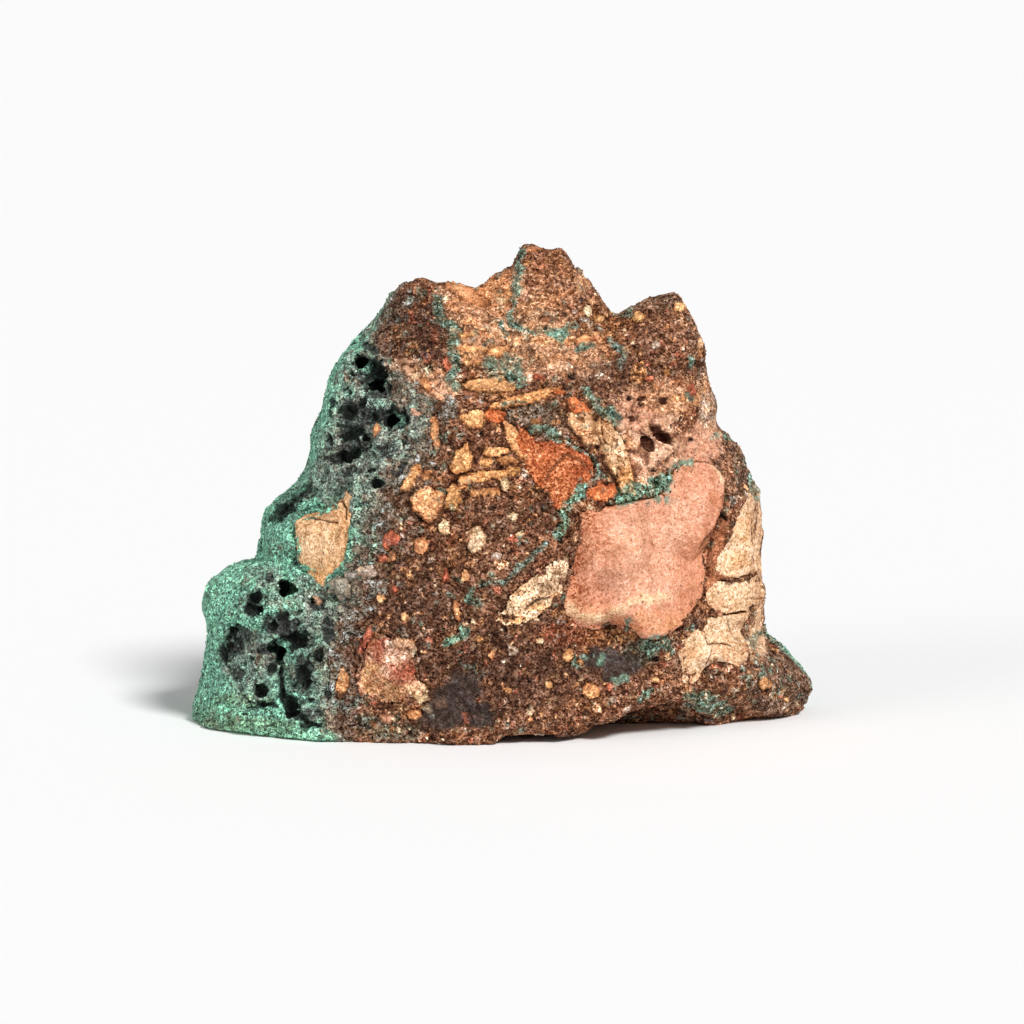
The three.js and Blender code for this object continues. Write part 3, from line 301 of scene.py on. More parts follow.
# Stains of the malachite and of the set-in stones, as above.
MALACHITE_STAINS = [
    (-23, 75.2, 5.4, 4.7, "vuggy", 0.8), (-18.8, 75.2, 2.5, 3.6, "lump", 0.5),
    (-23, 69.8, 4, 2.5, "vuggy", 0.75), (-20.6, 58.1, 8.3, 8.3, "vuggy", 1),
    (-26.6, 59.9, 2.5, 5.4, "vuggy", 0.7), (-23.3, 48.2, 9.4, 6.5, "vuggy", 1),
    (-17, 44.6, 5.4, 5.4, "vuggy", 0.9), (-27.8, 51.8, 2.9, 7.2, "vuggy", 0.9),
    (-29.6, 43.7, 5.4, 2.9, "vuggy", 0.8), (-15.2, 50, 4, 5.4, "vuggy", 1),
    (-18.8, 67.1, 3.6, 2.5, "vuggy", 0.9), (-16.1, 59.9, 4.7, 2.9, "vuggy", 0.9),
    (-23.7, 38.3, 5.4, 4.7, "vuggy", 0.8), (-30.5, 41, 7.2, 2.2, "vuggy", 0.7),
    (-24.2, 31.1, 2.2, 5.4, "vuggy_green", 0.8), (-22.4, 35.6, 2.9, 2.5, "lump", 0.5),
    (-38.6, 12.2, 5.4, 6.5, "vuggy_dark", 0.45), (-38.6, 16.7, 4.7, 2.5, "vuggy_dark", 0.6),
    (-44.9, 11.3, 5.4, 4, "vuggy", 0.75), (-45.8, 14, 3.6, 2.2, "vuggy_dark", 0.7),
    (-32.7, 15.8, 2.5, 7.2, "vuggy", 0.7), (-32.3, 6.8, 3.2, 5.4, "vuggy_green", 0.7),
    (-44, 5.3, 4, 2.5, "vuggy", 0.5), (-48.2, 12.2, 1.8, 4.7, "vuggy_dark", 0.7),
    (-30.5, 20.3, 6.1, 3.6, "vuggy", 0.85), (-34.1, 23, 3.6, 2.9, "vuggy", 0.8),
    (-41, 23, 2.9, 2.9, "vuggy", 0.7), (-44.9, 20.3, 2.5, 2.5, "vuggy_dark", 0.7),
    (-42.8, 26.2, 3.6, 1.4, "vuggy", 0.4), (-35.9, 6.8, 2.9, 2.5, "vuggy_dark", 0.8),
    (-36.8, 1.4, 2.2, 2.2, "vuggy_dark", 0.8), (-31.4, 0.5, 4.7, 2.5, "vuggy", 0.6),
    (-45.8, 3.2, 5.4, 1.1, "ochre_green", 0.5), (-44.9, -1.3, 9, 1.4, "ochre_green", 0.35),
    (-22.4, 3.2, 3.6, 3.2, "vuggy_green", 0.7), (-35.9, 28.4, 1.8, 1.4, "vuggy", 0.4),
    (-38.6, 38.2, 2.2, 2.5, "vuggy_dark", 0.8), (-33.2, 44.6, 3.2, 1.5, "vuggy_light", 0.7),
    (-18.4, 50.8, 3.4, 3, "vuggy_light", 0.4), (-20.2, 44.2, 4, 2.4, "vuggy_light", 0.45),
    (-50.6, 22.6, 4, 4.4, "velvet_light", 0.3), (-28.6, 59, 2.4, 6, "velvet_light", 0.5),
    (-35.5, 46, 3, 3.4, "velvet_light", 0.3), (-44.5, 8.6, 5, 4, "vuggy_light", 0.3),
    (-32.8, 5.4, 3.4, 5.4, "vuggy_light", 0.3),
]
SALMON_STAINS = [
    (16.3, 34.7, 4.3, 4, "salmon_warm", 0.7), (13, 22.6, 2.2, 4.7, "salmon_edge", 0.7),
    (26.2, 32, 7.6, 4.7, "salmon_pale", 0.9), (25.3, 23.9, 7.2, 3.6, "salmon_pale", 0.6),
    (34.3, 25.7, 2.9, 7.9, "salmon_warm", 0.6), (34.3, 42.8, 4.7, 2.9, "salmon_warm", 0.4),
    (34.3, 37.4, 4, 3.2, "salmon_pale", 0.5), (28, 17.2, 6.1, 2.2, "apricot", 0.7),
    (34.3, 21.2, 2.9, 2.9, "salmon_edge", 0.5), (16.6, 19.4, 5.4, 1.8, "apricot", 0.5),
    (17.2, 37.9, 5.4, 1.3, "salmon_edge", 0.6), (39.3, 42.8, 1.8, 4.3, "salmon_edge", 0.5),
    # The rust_shade stains here and at (42.4, 42.4) are painted shade down the mass's right side.
    (41.1, 38.3, 1.4, 2.9, "rust_shade", 0.9), (40, 31.1, 1.8, 4, "rust_shade", 0.8),
    (38.2, 35.6, 1.3, 5.4, "salmon_edge", 0.8), (18.1, 30.2, 4.7, 2.5, "salmon_warm", 0.5),
    (21.7, 16.2, 5.4, 1.4, "flame", 0.5), (10.9, 16.7, 2.9, 2.2, "flame", 0.5),
    (14.1, 28, 2.2, 1.8, "salmon_edge", 0.5), (42.4, 42.4, 1.1, 2.5, "rust_shade", 0.9),
    (37.1, 28.4, 0.9, 7.2, "salmon_edge", 0.6),
]
# The pale lip along the lower edge of the salmon mass, and the pale ridge down its upper right.
SALMON_LIP = [
    (11.9, 19.4), (15.4, 18.3), (18.8, 18.3), (21.7, 19.8), (24.5, 21.2), (27.4, 21.6), (30.3, 21.9),
]
SALMON_RIDGE = [
    (37.1, 47.1), (38.6, 45.7), (39.8, 43.9), (40.7, 41.7),
]
ORANGE_STAINS = [
    (10.9, 49.1, 6.1, 1.8, "flame_deep", 0.7), (16.3, 46.4, 2.5, 3.2, "flame_deep", 0.8),
    (8.2, 44.6, 4, 2.5, "flame", 0.6), (10.1, 41.4, 3.6, 2.5, "flame_pale", 0.5),
    (5.5, 41, 1.8, 4, "flame_deep", 0.4), (13.6, 43.7, 2.2, 2.9, "flame_deep", 0.6),
    (11.8, 46, 2.9, 1.6, "flame_pale", 0.35), (6.4, 47.8, 1.8, 1.4, "flame_pale", 0.4),
    (16.3, 40.1, 2.9, 1.4, "flame_deep", 0.5), (8.7, 38.3, 2.2, 1.4, "flame_deep", 0.5),
]
WEDGE_STAINS = [
    (8.2, 24.2, 3.2, 1.8, "wood_grey", 0.8), (10.9, 27.5, 2.5, 2.2, "wood_grey", 0.7),
    (2.8, 20.1, 2.5, 1.8, "cream", 0.5), (2.2, 17.9, 2.5, 0.9, "straw", 0.9),
    (8.2, 19.8, 3.2, 0.7, "straw", 0.9), (2.8, 23, 1.6, 1.1, "straw", 0.5),
    (13.6, 29.3, 1.8, 2.5, "wood_grey", 0.6), (11.2, 21.9, 2.5, 0.7, "apricot", 0.8),
    (15.2, 31.1, 1.8, 1.8, "rosy", 0.6),
]
SLAB_STAINS = [
    (21.7, 50, 1.4, 4.7, "slab_pale", 0.6), (19, 52.7, 3.2, 1.8, "slab_dark", 0.4),
    (23.1, 42.8, 1.8, 2.5, "straw", 0.9), (18.1, 47.3, 1.8, 1.8, "grey_green", 0.7),
    (20.2, 39.2, 2.2, 1.1, "grey_green", 0.7), (16.3, 52.7, 1.8, 2.2, "slab_pale", 0.4),
    (20.2, 46, 1.1, 3.6, "cream", 0.5), (14.1, 53.6, 2.2, 2.2, "apricot", 0.5),
    (26.2, 41.7, 1.8, 1.8, "grey_green", 0.8),
]
CREAM_STAINS = [
    (-32.3, 32, 4, 3.6, "shell_pale", 0.6), (-29.6, 35.6, 3.6, 1.8, "apricot", 0.4),
    (-34.5, 31.1, 1.8, 4, "shell_pale", 0.5), (-28.7, 31.1, 1.4, 3.2, "shell_stain", 0.5),
    (-31.4, 25.7, 1.8, 1.8, "straw", 0.6), (-27.3, 38.3, 1.1, 2.5, "shell_stain", 0.6),
    (-32.7, 37, 3.6, 1.1, "shell_stain", 0.6), (-33.8, 33.8, 2.2, 1.4, "straw", 0.4),
    (-27.7, 33.4, 1.4, 3.2, "apricot", 0.5), (43.6, 31.1, 2.9, 2.9, "block_pale", 0.6),
    (43.6, 28.4, 2.5, 1.8, "straw", 0.5), (40.6, 27.5, 1.4, 2.2, "block_pale", 0.6),
    (45.4, 37, 1.1, 3.6, "block_stain_and_shade", 0.5), (44.2, 33.8, 2.5, 2.5, "straw", 0.4),
    (42.4, 22.6, 4, 1.4, "block_pale", 0.6), (38.8, 20.1, 2.2, 0.7, "rosy", 0.7),
    (46.3, 22.1, 0.7, 2.2, "block_stain_and_shade", 0.6), (34.3, 12.2, 1.8, 2.5, "straw", 0.5),
    (36.1, 14, 2.5, 2.2, "block_pale", 0.6), (42.4, 15.8, 2.9, 2.2, "block_pale", 0.6),
    (42.4, 11.3, 2.5, 2.2, "block_stain_and_shade", 0.5), (38.8, 8.6, 2.9, 2.2, "lump", 0.7),
    (44.7, 8.9, 1.8, 1.8, "matrix", 0.8), (42.4, 6.8, 2.5, 1.8, "lump", 0.8),
    (32.1, 13.1, 0.7, 1.8, "apricot", 0.8), (43.6, 16.9, 0.9, 0.9, "block_stain_and_shade", 0.7),
]
RUSTY_STAINS = [
    (-17.6, 12.6, 4, 3.4, "rust_pink", 0.8), (-18.2, 7.2, 3.6, 2, "rust_red", 0.85),
    (-20.3, 15.3, 2.2, 1.3, "smoke", 0.8), (-20.2, 6.2, 0.9, 0.7, "smoke", 0.8),
    (-17.6, 8, 0.8, 0.6, "smoke", 0.7), (-16.4, 9.2, 1.4, 1.2, "rust_red", 0.8),
    (-23.4, 15.4, 1.2, 3.4, "flame", 0.9), (-21.8, 12, 0.8, 2.4, "rust_red", 0.8),
    (-23, 7, 2.6, 2.8, "rust_yellow", 1), (-18.8, 4.1, 3.4, 1.5, "rust_yellow", 1),
    (-14.7, 5, 2.2, 1.8, "cream", 0.7), (-12.5, 5.3, 1.4, 1.4, "bone", 0.7),
    (-18.8, 6.2, 1.4, 1.1, "umber", 0.8), (-16.1, 8.2, 1.4, 0.9, "rust_red", 0.8),
    (-23.9, 14, 0.9, 0.9, "pit", 0.8), (-20.6, 8.2, 1.4, 1.1, "rust_pink", 0.6),
    (-24.1, 9.8, 1.4, 1.4, "rust_yellow", 0.7), (-16.1, 14, 1.8, 1.8, "pale_rose", 0.7),
    (-12.5, 11.3, 1.8, 1.4, "rosy", 0.6),
]
# Courses of the cracks in the orange mass and in the slabs.
ORANGE_CRACKS = [
    [(11.8, 47.3), (10.1, 45.7), (8.9, 44.2), (8.2, 43)], [(12, 47.4), (14.2, 46.6), (15.6, 45.2)],
]
SLAB_CRACK = [(18.1, 50.4), (19.1, 47.8), (20.2, 45.3), (21.3, 42.4)]
# Cracks in the cream stones: width and course.
CREAM_CRACKS = [
    (0.25, [(-35.4, 35.8), (-33.6, 36), (-31.4, 35.4), (-29.5, 35)]),
    (0.35, [(-28.4, 39.2), (-27.7, 37.8), (-27.7, 35.6)]),
    (0.22, [(36.2, 16.4), (37.4, 13.4), (39.6, 13.2), (41.6, 12.9)]),
    (0.2, [(40.8, 18), (41.4, 15.4), (43.4, 13.8)]), (0.22, [(38.2, 12.2), (37.4, 9.8)]),
    (0.35, [(4.4, 19.6), (6.6, 20.9), (8.9, 21.8)]),
]


# ---- numbers ----
def linear(colour):
    """A colour of the palette as the shaders' own linear numbers."""
    seen = np.array(getattr(bpy.context.scene.specimen_colours, colour))
    # The screen's standard curve: a short straight piece near black, and a power above it.
    return np.where(seen <= 0.04045, seen / 12.92, ((seen + 0.055) / 1.055) ** 2.4)


def smooth(value, low, high):
    """0 below low, 1 above high, and a soft step between them."""
    share = np.clip((value - low) / (high - low), 0.0, 1.0)
    return share * share * (3.0 - 2.0 * share)


def fade(value, low, high):
    """1 below low, 0 above high, and a soft step between them."""
    return 1.0 - smooth(value, low, high)


def hashed(x, y, z, seed):
    """A random number from 0 to 1 for each whole-numbered place, the same on every run.

    The large odd factors only stir the bits.
    """
    mixed = x * np.uint32(374761393) + y * np.uint32(668265263) + z * np.uint32(3266489917)
    mixed = mixed + np.uint32((seed * 2654435761) & 0xFFFFFFFF)
    mixed = (mixed ^ (mixed >> np.uint32(15))) * np.uint32(2246822519)
    mixed = (mixed ^ (mixed >> np.uint32(13))) * np.uint32(3266489917)
    return (mixed ^ (mixed >> np.uint32(16))) / 4294967296.0


def lattice(points, size):
    """The whole-numbered corner below each point, and how far the point lies from it, by axes."""
    place = points.T / size
    low = np.floor(place)
    return low.astype(np.int64).astype(np.uint32), place - low


def noise(points, size, seed):
    """Smooth noise from -1 to 1, with lumps of that size in millimetres."""
    corner, share = lattice(points, size)
    share = share * share * share * (share * (share * 6.0 - 15.0) + 10.0)
    total = np.zeros(len(points))
    for steps in np.ndindex(2, 2, 2):
        weight = math.prod(abs(1 - step - part) for step, part in zip(steps, share))
        total += weight * hashed(*(corner + np.array(steps, np.uint32)[:, None]), seed)
    return total * 2.0 - 1.0


def rough(points, size, seed, layers=4, fall=0.55):
    """Layers of noise from about -1 to 1, each half the size of the one before."""
    total = np.zeros(len(points))
    weight = 1.0
    whole = 0.0
    for layer in range(layers):
        total += weight * noise(points, size * 0.5 ** layer, seed + 17 * layer)
        whole += weight * 0.6
        weight *= fall
    return total / whole


def cells(points, size, seed, scatter=0.9):
    """The distance to the nearest and the next of scattered centres, and two numbers of the nearest."""
    corner, share = lattice(points, size)
    first = np.full(len(points), 9.0)
    second = np.full(len(points), 9.0)
    number = np.zeros(len(points))
    for steps in np.ndindex(3, 3, 3):
        steps = np.array(steps) - 1
        near = corner + steps.astype(np.uint32)[:, None]
        own = [hashed(*near, seed + axis) for axis in range(3)]
        away = sum((step + 0.5 + scatter * (number_there - 0.5) - part) ** 2
                   for step, number_there, part in zip(steps, own, share))
        nearer = away < first
        second = np.where(nearer, first, np.minimum(second, away))
        number = np.where(nearer, own[0], number)
        first = np.where(nearer, away, first)
    return np.sqrt(first), np.sqrt(second), number, (number * 61.7) % 1.0


def turned(x, y, turn):
    """Places of a plane as seen by axes that are turned by some degrees."""
    lean = math.radians(turn)
    return x * math.cos(lean) + y * math.sin(lean), y * math.cos(lean) - x * math.sin(lean)


def line_distance(across, up, course):
    """The distance of each point of the face to a course of straight pieces."""
    least = np.full(len(across), 1e9)
    for (a, b), (c, d) in zip(course, course[1:]):
        run = max((c - a) ** 2 + (d - b) ** 2, 1e-9)
        along = np.clip(((across - a) * (c - a) + (up - b) * (d - b)) / run, 0.0, 1.0)
        least = np.minimum(least, np.hypot(across - a - along * (c - a), up - b - along * (d - b)))
    return least


def on_face(points):
    """Where points lie on the broken face as the eye sees it: across, up, and the enlargement there."""
    offset = points - np.array(EYE_TARGET)
    nearer = EYE_DISTANCE / (EYE_DISTANCE - offset @ np.array(TOWARDS_VIEWER))
    up = offset[:, 2] * math.cos(LEAN) + offset[:, 1] * math.sin(LEAN)
    level = EYE_TARGET[2] * math.cos(LEAN) + EYE_TARGET[1] * math.sin(LEAN)
    return EYE_TARGET[0] + offset[:, 0] * nearer, level + up * nearer, nearer


# ---- a stone's skin ----
def points_of(mesh):
    """The places of a mesh's points, one in each row."""
    places = np.empty(len(mesh.vertices) * 3, np.float32)
    mesh.vertices.foreach_get("co", places)
    return places.reshape(-1, 3).astype(float)


def move_points(mesh, places):
    """Puts a mesh's points where the rows say."""
    mesh.vertices.foreach_set("co", places.astype(np.float32).ravel())
    mesh.update()


class Skin:
    """A stone's points in millimetres, with what is laid on each of them.

    tone is the colour, relief how far a point will be raised, grain how strongly the finish's grains show,
    grit how thickly loose grains lie, and solid how far a point belongs to a whole piece of stone. front is 1
    where the skin looks at the viewer, and depth how much more red, green and blue darken in the shade.
    """

    def __init__(self, mesh, ground="matrix"):
        self.mesh = mesh
        count = len(mesh.vertices)
        self.tone = np.tile(linear(ground), (count, 1))
        self.relief = np.zeros(count)
        self.grain = np.ones(count)
        self.grit = np.ones(count)
        self.solid = np.zeros(count)
        self.depth = np.ones(3)
        self.read()

    def read(self):
        """Takes the places and directions of the points from the mesh."""
        self.points = points_of(self.mesh)
        normals = np.empty(len(self.points) * 3, np.float32)
        self.mesh.vertex_normals.foreach_get("vector", normals)
        self.normals = normals.reshape(-1, 3).astype(float)
        self.facing = self.normals @ np.array(TOWARDS_VIEWER)
        self.front = smooth(self.facing, *FRONT)
        self.across, self.up, _ = on_face(self.points)
        self.ragged_across = self.across + 0.55 * rough(self.points, 2.2, 301, 3)
        self.ragged_up = self.up + 0.55 * rough(self.points, 2.2, 302, 3)

    def press(self):
        """Moves every point by its relief. The underside stays flat on the ground."""
        grounded = smooth(self.points[:, 2], 0.15, 1.2)
        down = smooth(-self.normals[:, 2], 0.5, 0.85)
        self.points += self.normals * (self.relief * (1.0 - down * (1.0 - grounded)))[:, None]
        self.points[:, 2] = np.maximum(self.points[:, 2], 0.0)
        move_points(self.mesh, self.points)
        self.relief[:] = 0.0
        self.read()

    def spot(self, across, up, half_width, half_height, turn=0.0, corners=None):
        """The points near a spot of the broken face, and how far out each lies: 1 is the spot's edge."""
        reach = 1.6 * max(half_width, half_height)
        near = np.flatnonzero((abs(self.ragged_across - across) < reach) & (abs(self.ragged_up - up) < reach)
                              & (self.front > 0.02))
        x, y = self.ragged(near, 1.0 if min(half_width, half_height) > 1.2 else 0.45)
        x, y = turned(x - across, y - up, turn)
        x = x / half_width
        y = y / half_height
        out = np.hypot(x, y)
        if corners is not None:
            dice = np.random.default_rng([SEED, corners])
            bearings = (np.arange(6) + dice.uniform(-0.32, 0.32, 6)) * math.tau / 6
            flats = dice.uniform(0.74, 1.0, 6)
            sided = np.max((np.cos(bearings) * x[:, None] + np.sin(bearings) * y[:, None]) / flats, axis=1)
            out = 0.3 * out + 0.7 * np.maximum(sided, 0.0)
        return near, out

    def ragged(self, near, share):
        """Where points lie on the face, moved a share of the way along their wandering."""
        return (self.across[near] + share * (self.ragged_across - self.across)[near],
                self.up[near] + share * (self.ragged_up - self.up)[near])

    def along(self, course, reach):
        """The points in front in the box round a course, with some room on every side."""
        box = np.array(course)
        low = box.min(axis=0) - reach
        high = box.max(axis=0) + reach
        return np.flatnonzero((self.across > low[0]) & (self.across < high[0]) & (self.up > low[1])
                              & (self.up < high[1]) & (self.front > 0.02))

    def paint(self, near, cover, colour):
        """Lays a colour over some points, as thickly as cover says."""
        target = linear(colour) if isinstance(colour, str) else colour
        self.tone[near] += (target - self.tone[near]) * (cover * self.front[near])[:, None]

    def wash(self, cover, colour):
        """Lays a colour over the whole stone, as thickly as cover says."""
        self.tone += (linear(colour) - self.tone) * np.clip(cover, 0.0, 1.0)[:, None]

    def mottle(self, colour, cover, size, seed, layers, low, high):
        """Lays a colour over the whole stone in patches of noise, from where it passes low."""
        self.wash(cover * smooth(rough(self.points, size, seed, layers), low, high), colour)

    def shade(self, factor):
        """Makes every point lighter or darker. The dark ones grow deeper in colour as well."""
        self.tone *= factor[:, None] ** self.depth

    def dapple(self, size, seed, strength):
        """Lighter and darker patches."""
        self.shade(np.exp(strength * rough(self.points, size, seed, 3)))

    def stains(self, spots, share=1.0):
        """Patchy stains, each strongest in its middle."""
        for number, (across, up, half_width, half_height, colour, strength) in enumerate(spots):
            near, out = self.spot(across, up, half_width, half_height)
            patchy = 0.75 + 0.45 * noise(self.points[near], 1.7, 500 + number)
            cover = share * strength * np.clip(patchy, 0.0, 1.0) * fade(out, 0.62, 1.3)
            self.paint(near, cover, colour)

    def clast(self, number, across, up, half_width, half_height, turn, colour):
        """One broken piece of another stone, ragged and grainy, with a patchy sunk gap round it darkened with
        painted shade.
        """
        near, out = self.spot(across, up, 1.12 * half_width, 1.12 * half_height, turn, corners=number)
        points = self.points[near]
        front = self.front[near]
        size = min(half_width, half_height)
        out = out + 0.14 / max(size, 0.8) * rough(points, 1.1, 860 + number, 3)
        cover = fade(out, 0.9, 1.02)
        shaded_seam = smooth(out, 0.9, 1.04) * fade(out, 1.06, 1.34)
        shaded_seam = shaded_seam * smooth(noise(points, 1.2, 880 + number), -0.7, 0.2)
        own = np.random.default_rng([SEED, number, 7])
        target = linear(colour) * own.uniform(0.84, 1.06) * own.uniform(0.97, 1.03, 3)
        along, beside = turned(
            self.across[near], self.up[near], turn if half_width > half_height else turn + 90.0)
        layered = rough(np.stack([along / 4.0, beside, 0.0 * beside], axis=1), 0.9, 920 + number, 3)
        strength = np.exp(0.24 * rough(points, 1.1, 900 + number, 3) + 0.26 * layered)
        mottled = strength[:, None] ** self.depth * target
        edge = smooth(out, 0.45, 1.0)[:, None]
        mottled = mottled * (1.0 - edge * np.array([0.14, 0.24, 0.32]))
        self.tone[near] += (mottled - self.tone[near]) * (0.97 * cover * front)[:, None]
        # Painted shade in the sunk gap round the piece.
        self.tone[near] *= (1.0 - 0.6 * shaded_seam * front)[:, None] ** self.depth
        self.solid[near] = np.maximum(self.solid[near], cover * front)
        rise = min(0.5, 0.2 + 0.12 * size)
        self.relief[near] += rise * cover * front * (1.0 - 0.25 * out)
        self.relief[near] -= 0.3 * shaded_seam * front
        self.grain[near] *= 1.0 - 0.45 * cover

    def hollow(self, across, up, half_width, half_height, turn, depth, colour="pit"):
        """One torn hole in the face, sunk, with a colour painted at its bottom; the dark pit and hollow
        colours there are painted shade.
        """
        near, out = self.spot(across, up, half_width, half_height, turn)
        points = self.points[near]
        out = out + 0.28 * rough(points, 1.3, 840, 3) + 0.22 * rough(points, 3.0, 841, 2)
        cover = fade(out, 0.72, 1.04) * self.front[near]
        self.relief[near] -= depth * cover
        self.paint(near, smooth(cover, 0.15, 0.5) * 0.95, colour)

    def burst(self, across, up, reach, light, dark):
        """Pale needles round a ragged hollow."""
        near, out = self.spot(across, up, reach, reach)
        points = self.points[near]
        bearing = np.arctan2(self.up[near] - up, self.across[near] - across)
        bearing += 0.5 * noise(points, 2.4, 936)
        places = np.stack([6.0 * np.cos(bearing), 6.0 * np.sin(bearing), 1.6 * out], axis=1)
        needles = rough(places, 1.7, 930, 4)
        out = out + 0.25 * rough(points, 2.2, 934, 3)
        around = fade(out, 0.7, 1.05)
        inside = fade(out, 0.22, 0.5)
        self.paint(near, 0.85 * around * smooth(needles, -0.3, 0.3), light)
        self.paint(near, 0.45 * around * smooth(-needles, 0.2, 0.6), dark)
        self.paint(near, 0.9 * inside * smooth(-needles, -0.35, 0.1), dark)
        self.relief[near] += self.front[near] * (0.35 * around * needles - 0.4 * inside)
        self.grain[near] *= 1.0 - 0.4 * around

    def vein(self, number, colour, width, course):
        """One green vein, uneven, grainy and broken in places."""
        wide = max(width, 0.7)
        near = self.along(course, 2.0 * wide)
        points = self.points[near]
        away = line_distance(self.ragged_across[near], self.ragged_up[near], course) / wide
        away = away + 0.32 * rough(points, 1.1, 700 + number, 3)
        grains = noise(points, 0.5, 760 + number)
        cover = fade(away, 0.42, 0.82)
        cover = cover * (0.55 + 0.45 * smooth(rough(points, 0.9, 730 + number, 2), -0.6, 0.1))
        self.paint(near, 0.9 * cover, colour)
        self.tone[near] *= np.exp(0.8 * cover * grains)[:, None]
        self.relief[near] += cover * (0.12 + 0.2 * grains)

    def crack(self, width, depth, course, colour="pit", ragged=0.4):
        """One crack, sunk and painted dark at its bottom as painted shade."""
        near = self.along(course, 2.0 + width)
        away = line_distance(*self.ragged(near, ragged), course) / width
        away = away + 0.3 * ragged * rough(self.points[near], 1.0, 850, 3)
        cover = fade(away, 0.25, 0.85)
        self.relief[near] -= depth * cover * self.front[near]
        self.paint(near, 0.85 * cover, colour)

    def pieces_between(self, size, seed, share, rise, darken=0.5):
        """Many small angular pieces between the larger ones, with painted shade in the sunk gaps round them.
        """
        places = self.points + 0.22 * size * np.stack(
            [rough(self.points, size * 0.8, seed + 5 + axis, 2) for axis in range(3)], axis=1)
        first, second, number, other = cells(places, size, seed)
        first = first + 0.09 * rough(self.points, 0.45 * size, seed + 8, 2)
        radius = 0.27 + 0.2 * other
        seamed = smooth(second - first, 0.03, 0.16)
        chosen = (number > 1.0 - share) * seamed
        cover = chosen * fade(first, radius - 0.04, radius + 0.03)
        shaded_seam = chosen * smooth(first, radius - 0.03, radius + 0.04) * fade(first, radius + 0.06, radius + 0.2)
        choice = (other * 977.0) % 1.0
        for place, colour in enumerate(SMALL_PIECES):
            mine = (choice >= place / len(SMALL_PIECES)) & (choice < (place + 1) / len(SMALL_PIECES))
            self.wash(cover * mine * 0.85, colour)
        # Painted shade in the gaps round the pieces.
        self.shade(1.0 - darken * shaded_seam)
        self.relief += rise * cover * (1.0 - first) - 0.4 * rise * shaded_seam


# ---- meshes ----
def read_stones(swells):
    """Welded copies of CAD nodes as one mesh, in millimetres, each swollen by its own measure."""
    whole = bmesh.new()
    for name, swell in swells.items():
        part = bmesh.new()
        part.from_mesh(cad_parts[name].data)
        bmesh.ops.scale(part, vec=(1.0 / MM,) * 3, verts=part.verts)
        bmesh.ops.remove_doubles(part, verts=part.verts, dist=0.002)
        part.normal_update()
        if swell:
            for vert in part.verts:
                vert.co += vert.normal * swell
        mesh = bpy.data.meshes.new("part")
        part.to_mesh(mesh)
        part.free()
        whole.from_mesh(mesh)
        bpy.data.meshes.remove(mesh)
    mesh = bpy.data.meshes.new("stones")
    whole.to_mesh(mesh)
    whole.free()
    return mesh


def new_object(name, data):
    """An object of the scene."""
    made = bpy.data.objects.new(name, data)
    bpy.context.collection.objects.link(made)
    return made


def frozen(piece):
    """A new mesh of an object as its modifiers leave it."""
    depsgraph = bpy.context.evaluated_depsgraph_get()
    return bpy.data.meshes.new_from_object(
        piece.evaluated_get(depsgraph), preserve_all_data_layers=True, depsgraph=depsgraph)


def applied(mesh, prepare):
    """The mesh with the modifiers applied that prepare puts on an object made of it."""
    piece = new_object("work", mesh)
    prepare(piece)
    result = frozen(piece)
    bpy.data.objects.remove(piece)
    bpy.data.meshes.remove(mesh)
    return result


def reskinned(mesh, voxel, rounds):
    """The mesh as one even skin of small faces, with its facets rubbed down."""
    def prepare(piece):
        remesh = piece.modifiers.new("even skin", "REMESH")
        remesh.mode = "VOXEL"
        remesh.voxel_size = voxel
        if rounds:
            rub = piece.modifiers.new("rubbed", "SMOOTH")
            rub.factor = 0.5
            rub.iterations = rounds
    return applied(mesh, prepare)


def refined(mesh, chosen):
    """The mesh with four faces for one wherever all the corners are chosen."""
    work = bmesh.new()
    work.from_mesh(mesh)
    edges = [edge for edge in work.edges if chosen[edge.verts[0].index] and chosen[edge.verts[1].index]]
    bmesh.ops.subdivide_edges(work, edges=edges, cuts=1, use_grid_fill=True)
    work.to_mesh(mesh)
    work.free()
    return mesh


def thinned(mesh, spare):
    """The mesh with most of the faces gone that lie wholly where spare is true."""
    def triangles(faces):
        return sum(len(face.vertices) - 2 for face in faces)
    spared = triangles(face for face in mesh.polygons if all(spare[vert] for vert in face.vertices))
    if not spared:
        return mesh

    def prepare(piece):
        group = piece.vertex_groups.new(name="spare")
        group.add(np.flatnonzero(spare).tolist(), 1.0, "REPLACE")
        thin = piece.modifiers.new("thinned", "DECIMATE")
        thin.ratio = 1.0 - SPARED * spared / triangles(mesh.polygons)
        thin.vertex_group = "spare"
        thin.vertex_group_factor = 1.0
    return applied(mesh, prepare)


def tree_of(mesh):
    """A mesh as a tree that finds the nearest place on it."""
    mesh.calc_loop_triangles()
    return BVHTree.FromPolygons([vert.co.copy() for vert in mesh.vertices],
                                [tuple(face.vertices) for face in mesh.loop_triangles])


def stone_tree(names):
    """The CAD stones as such a tree."""
    mesh = read_stones(dict.fromkeys(names, 0.0))
    tree = tree_of(mesh)
    bpy.data.meshes.remove(mesh)
    return tree


def distances(points, tree, reach):
    """How far each point lies outside the stones of a tree, negative inside, and at most reach."""
    away = np.full(len(points), reach)
    for place, point in enumerate(points.tolist()):
        spot, normal, _, _ = tree.find_nearest(point, reach)
        if spot is not None:
            offset = Vector(point) - spot
            away[place] = math.copysign(offset.length, offset.dot(normal))
    return away


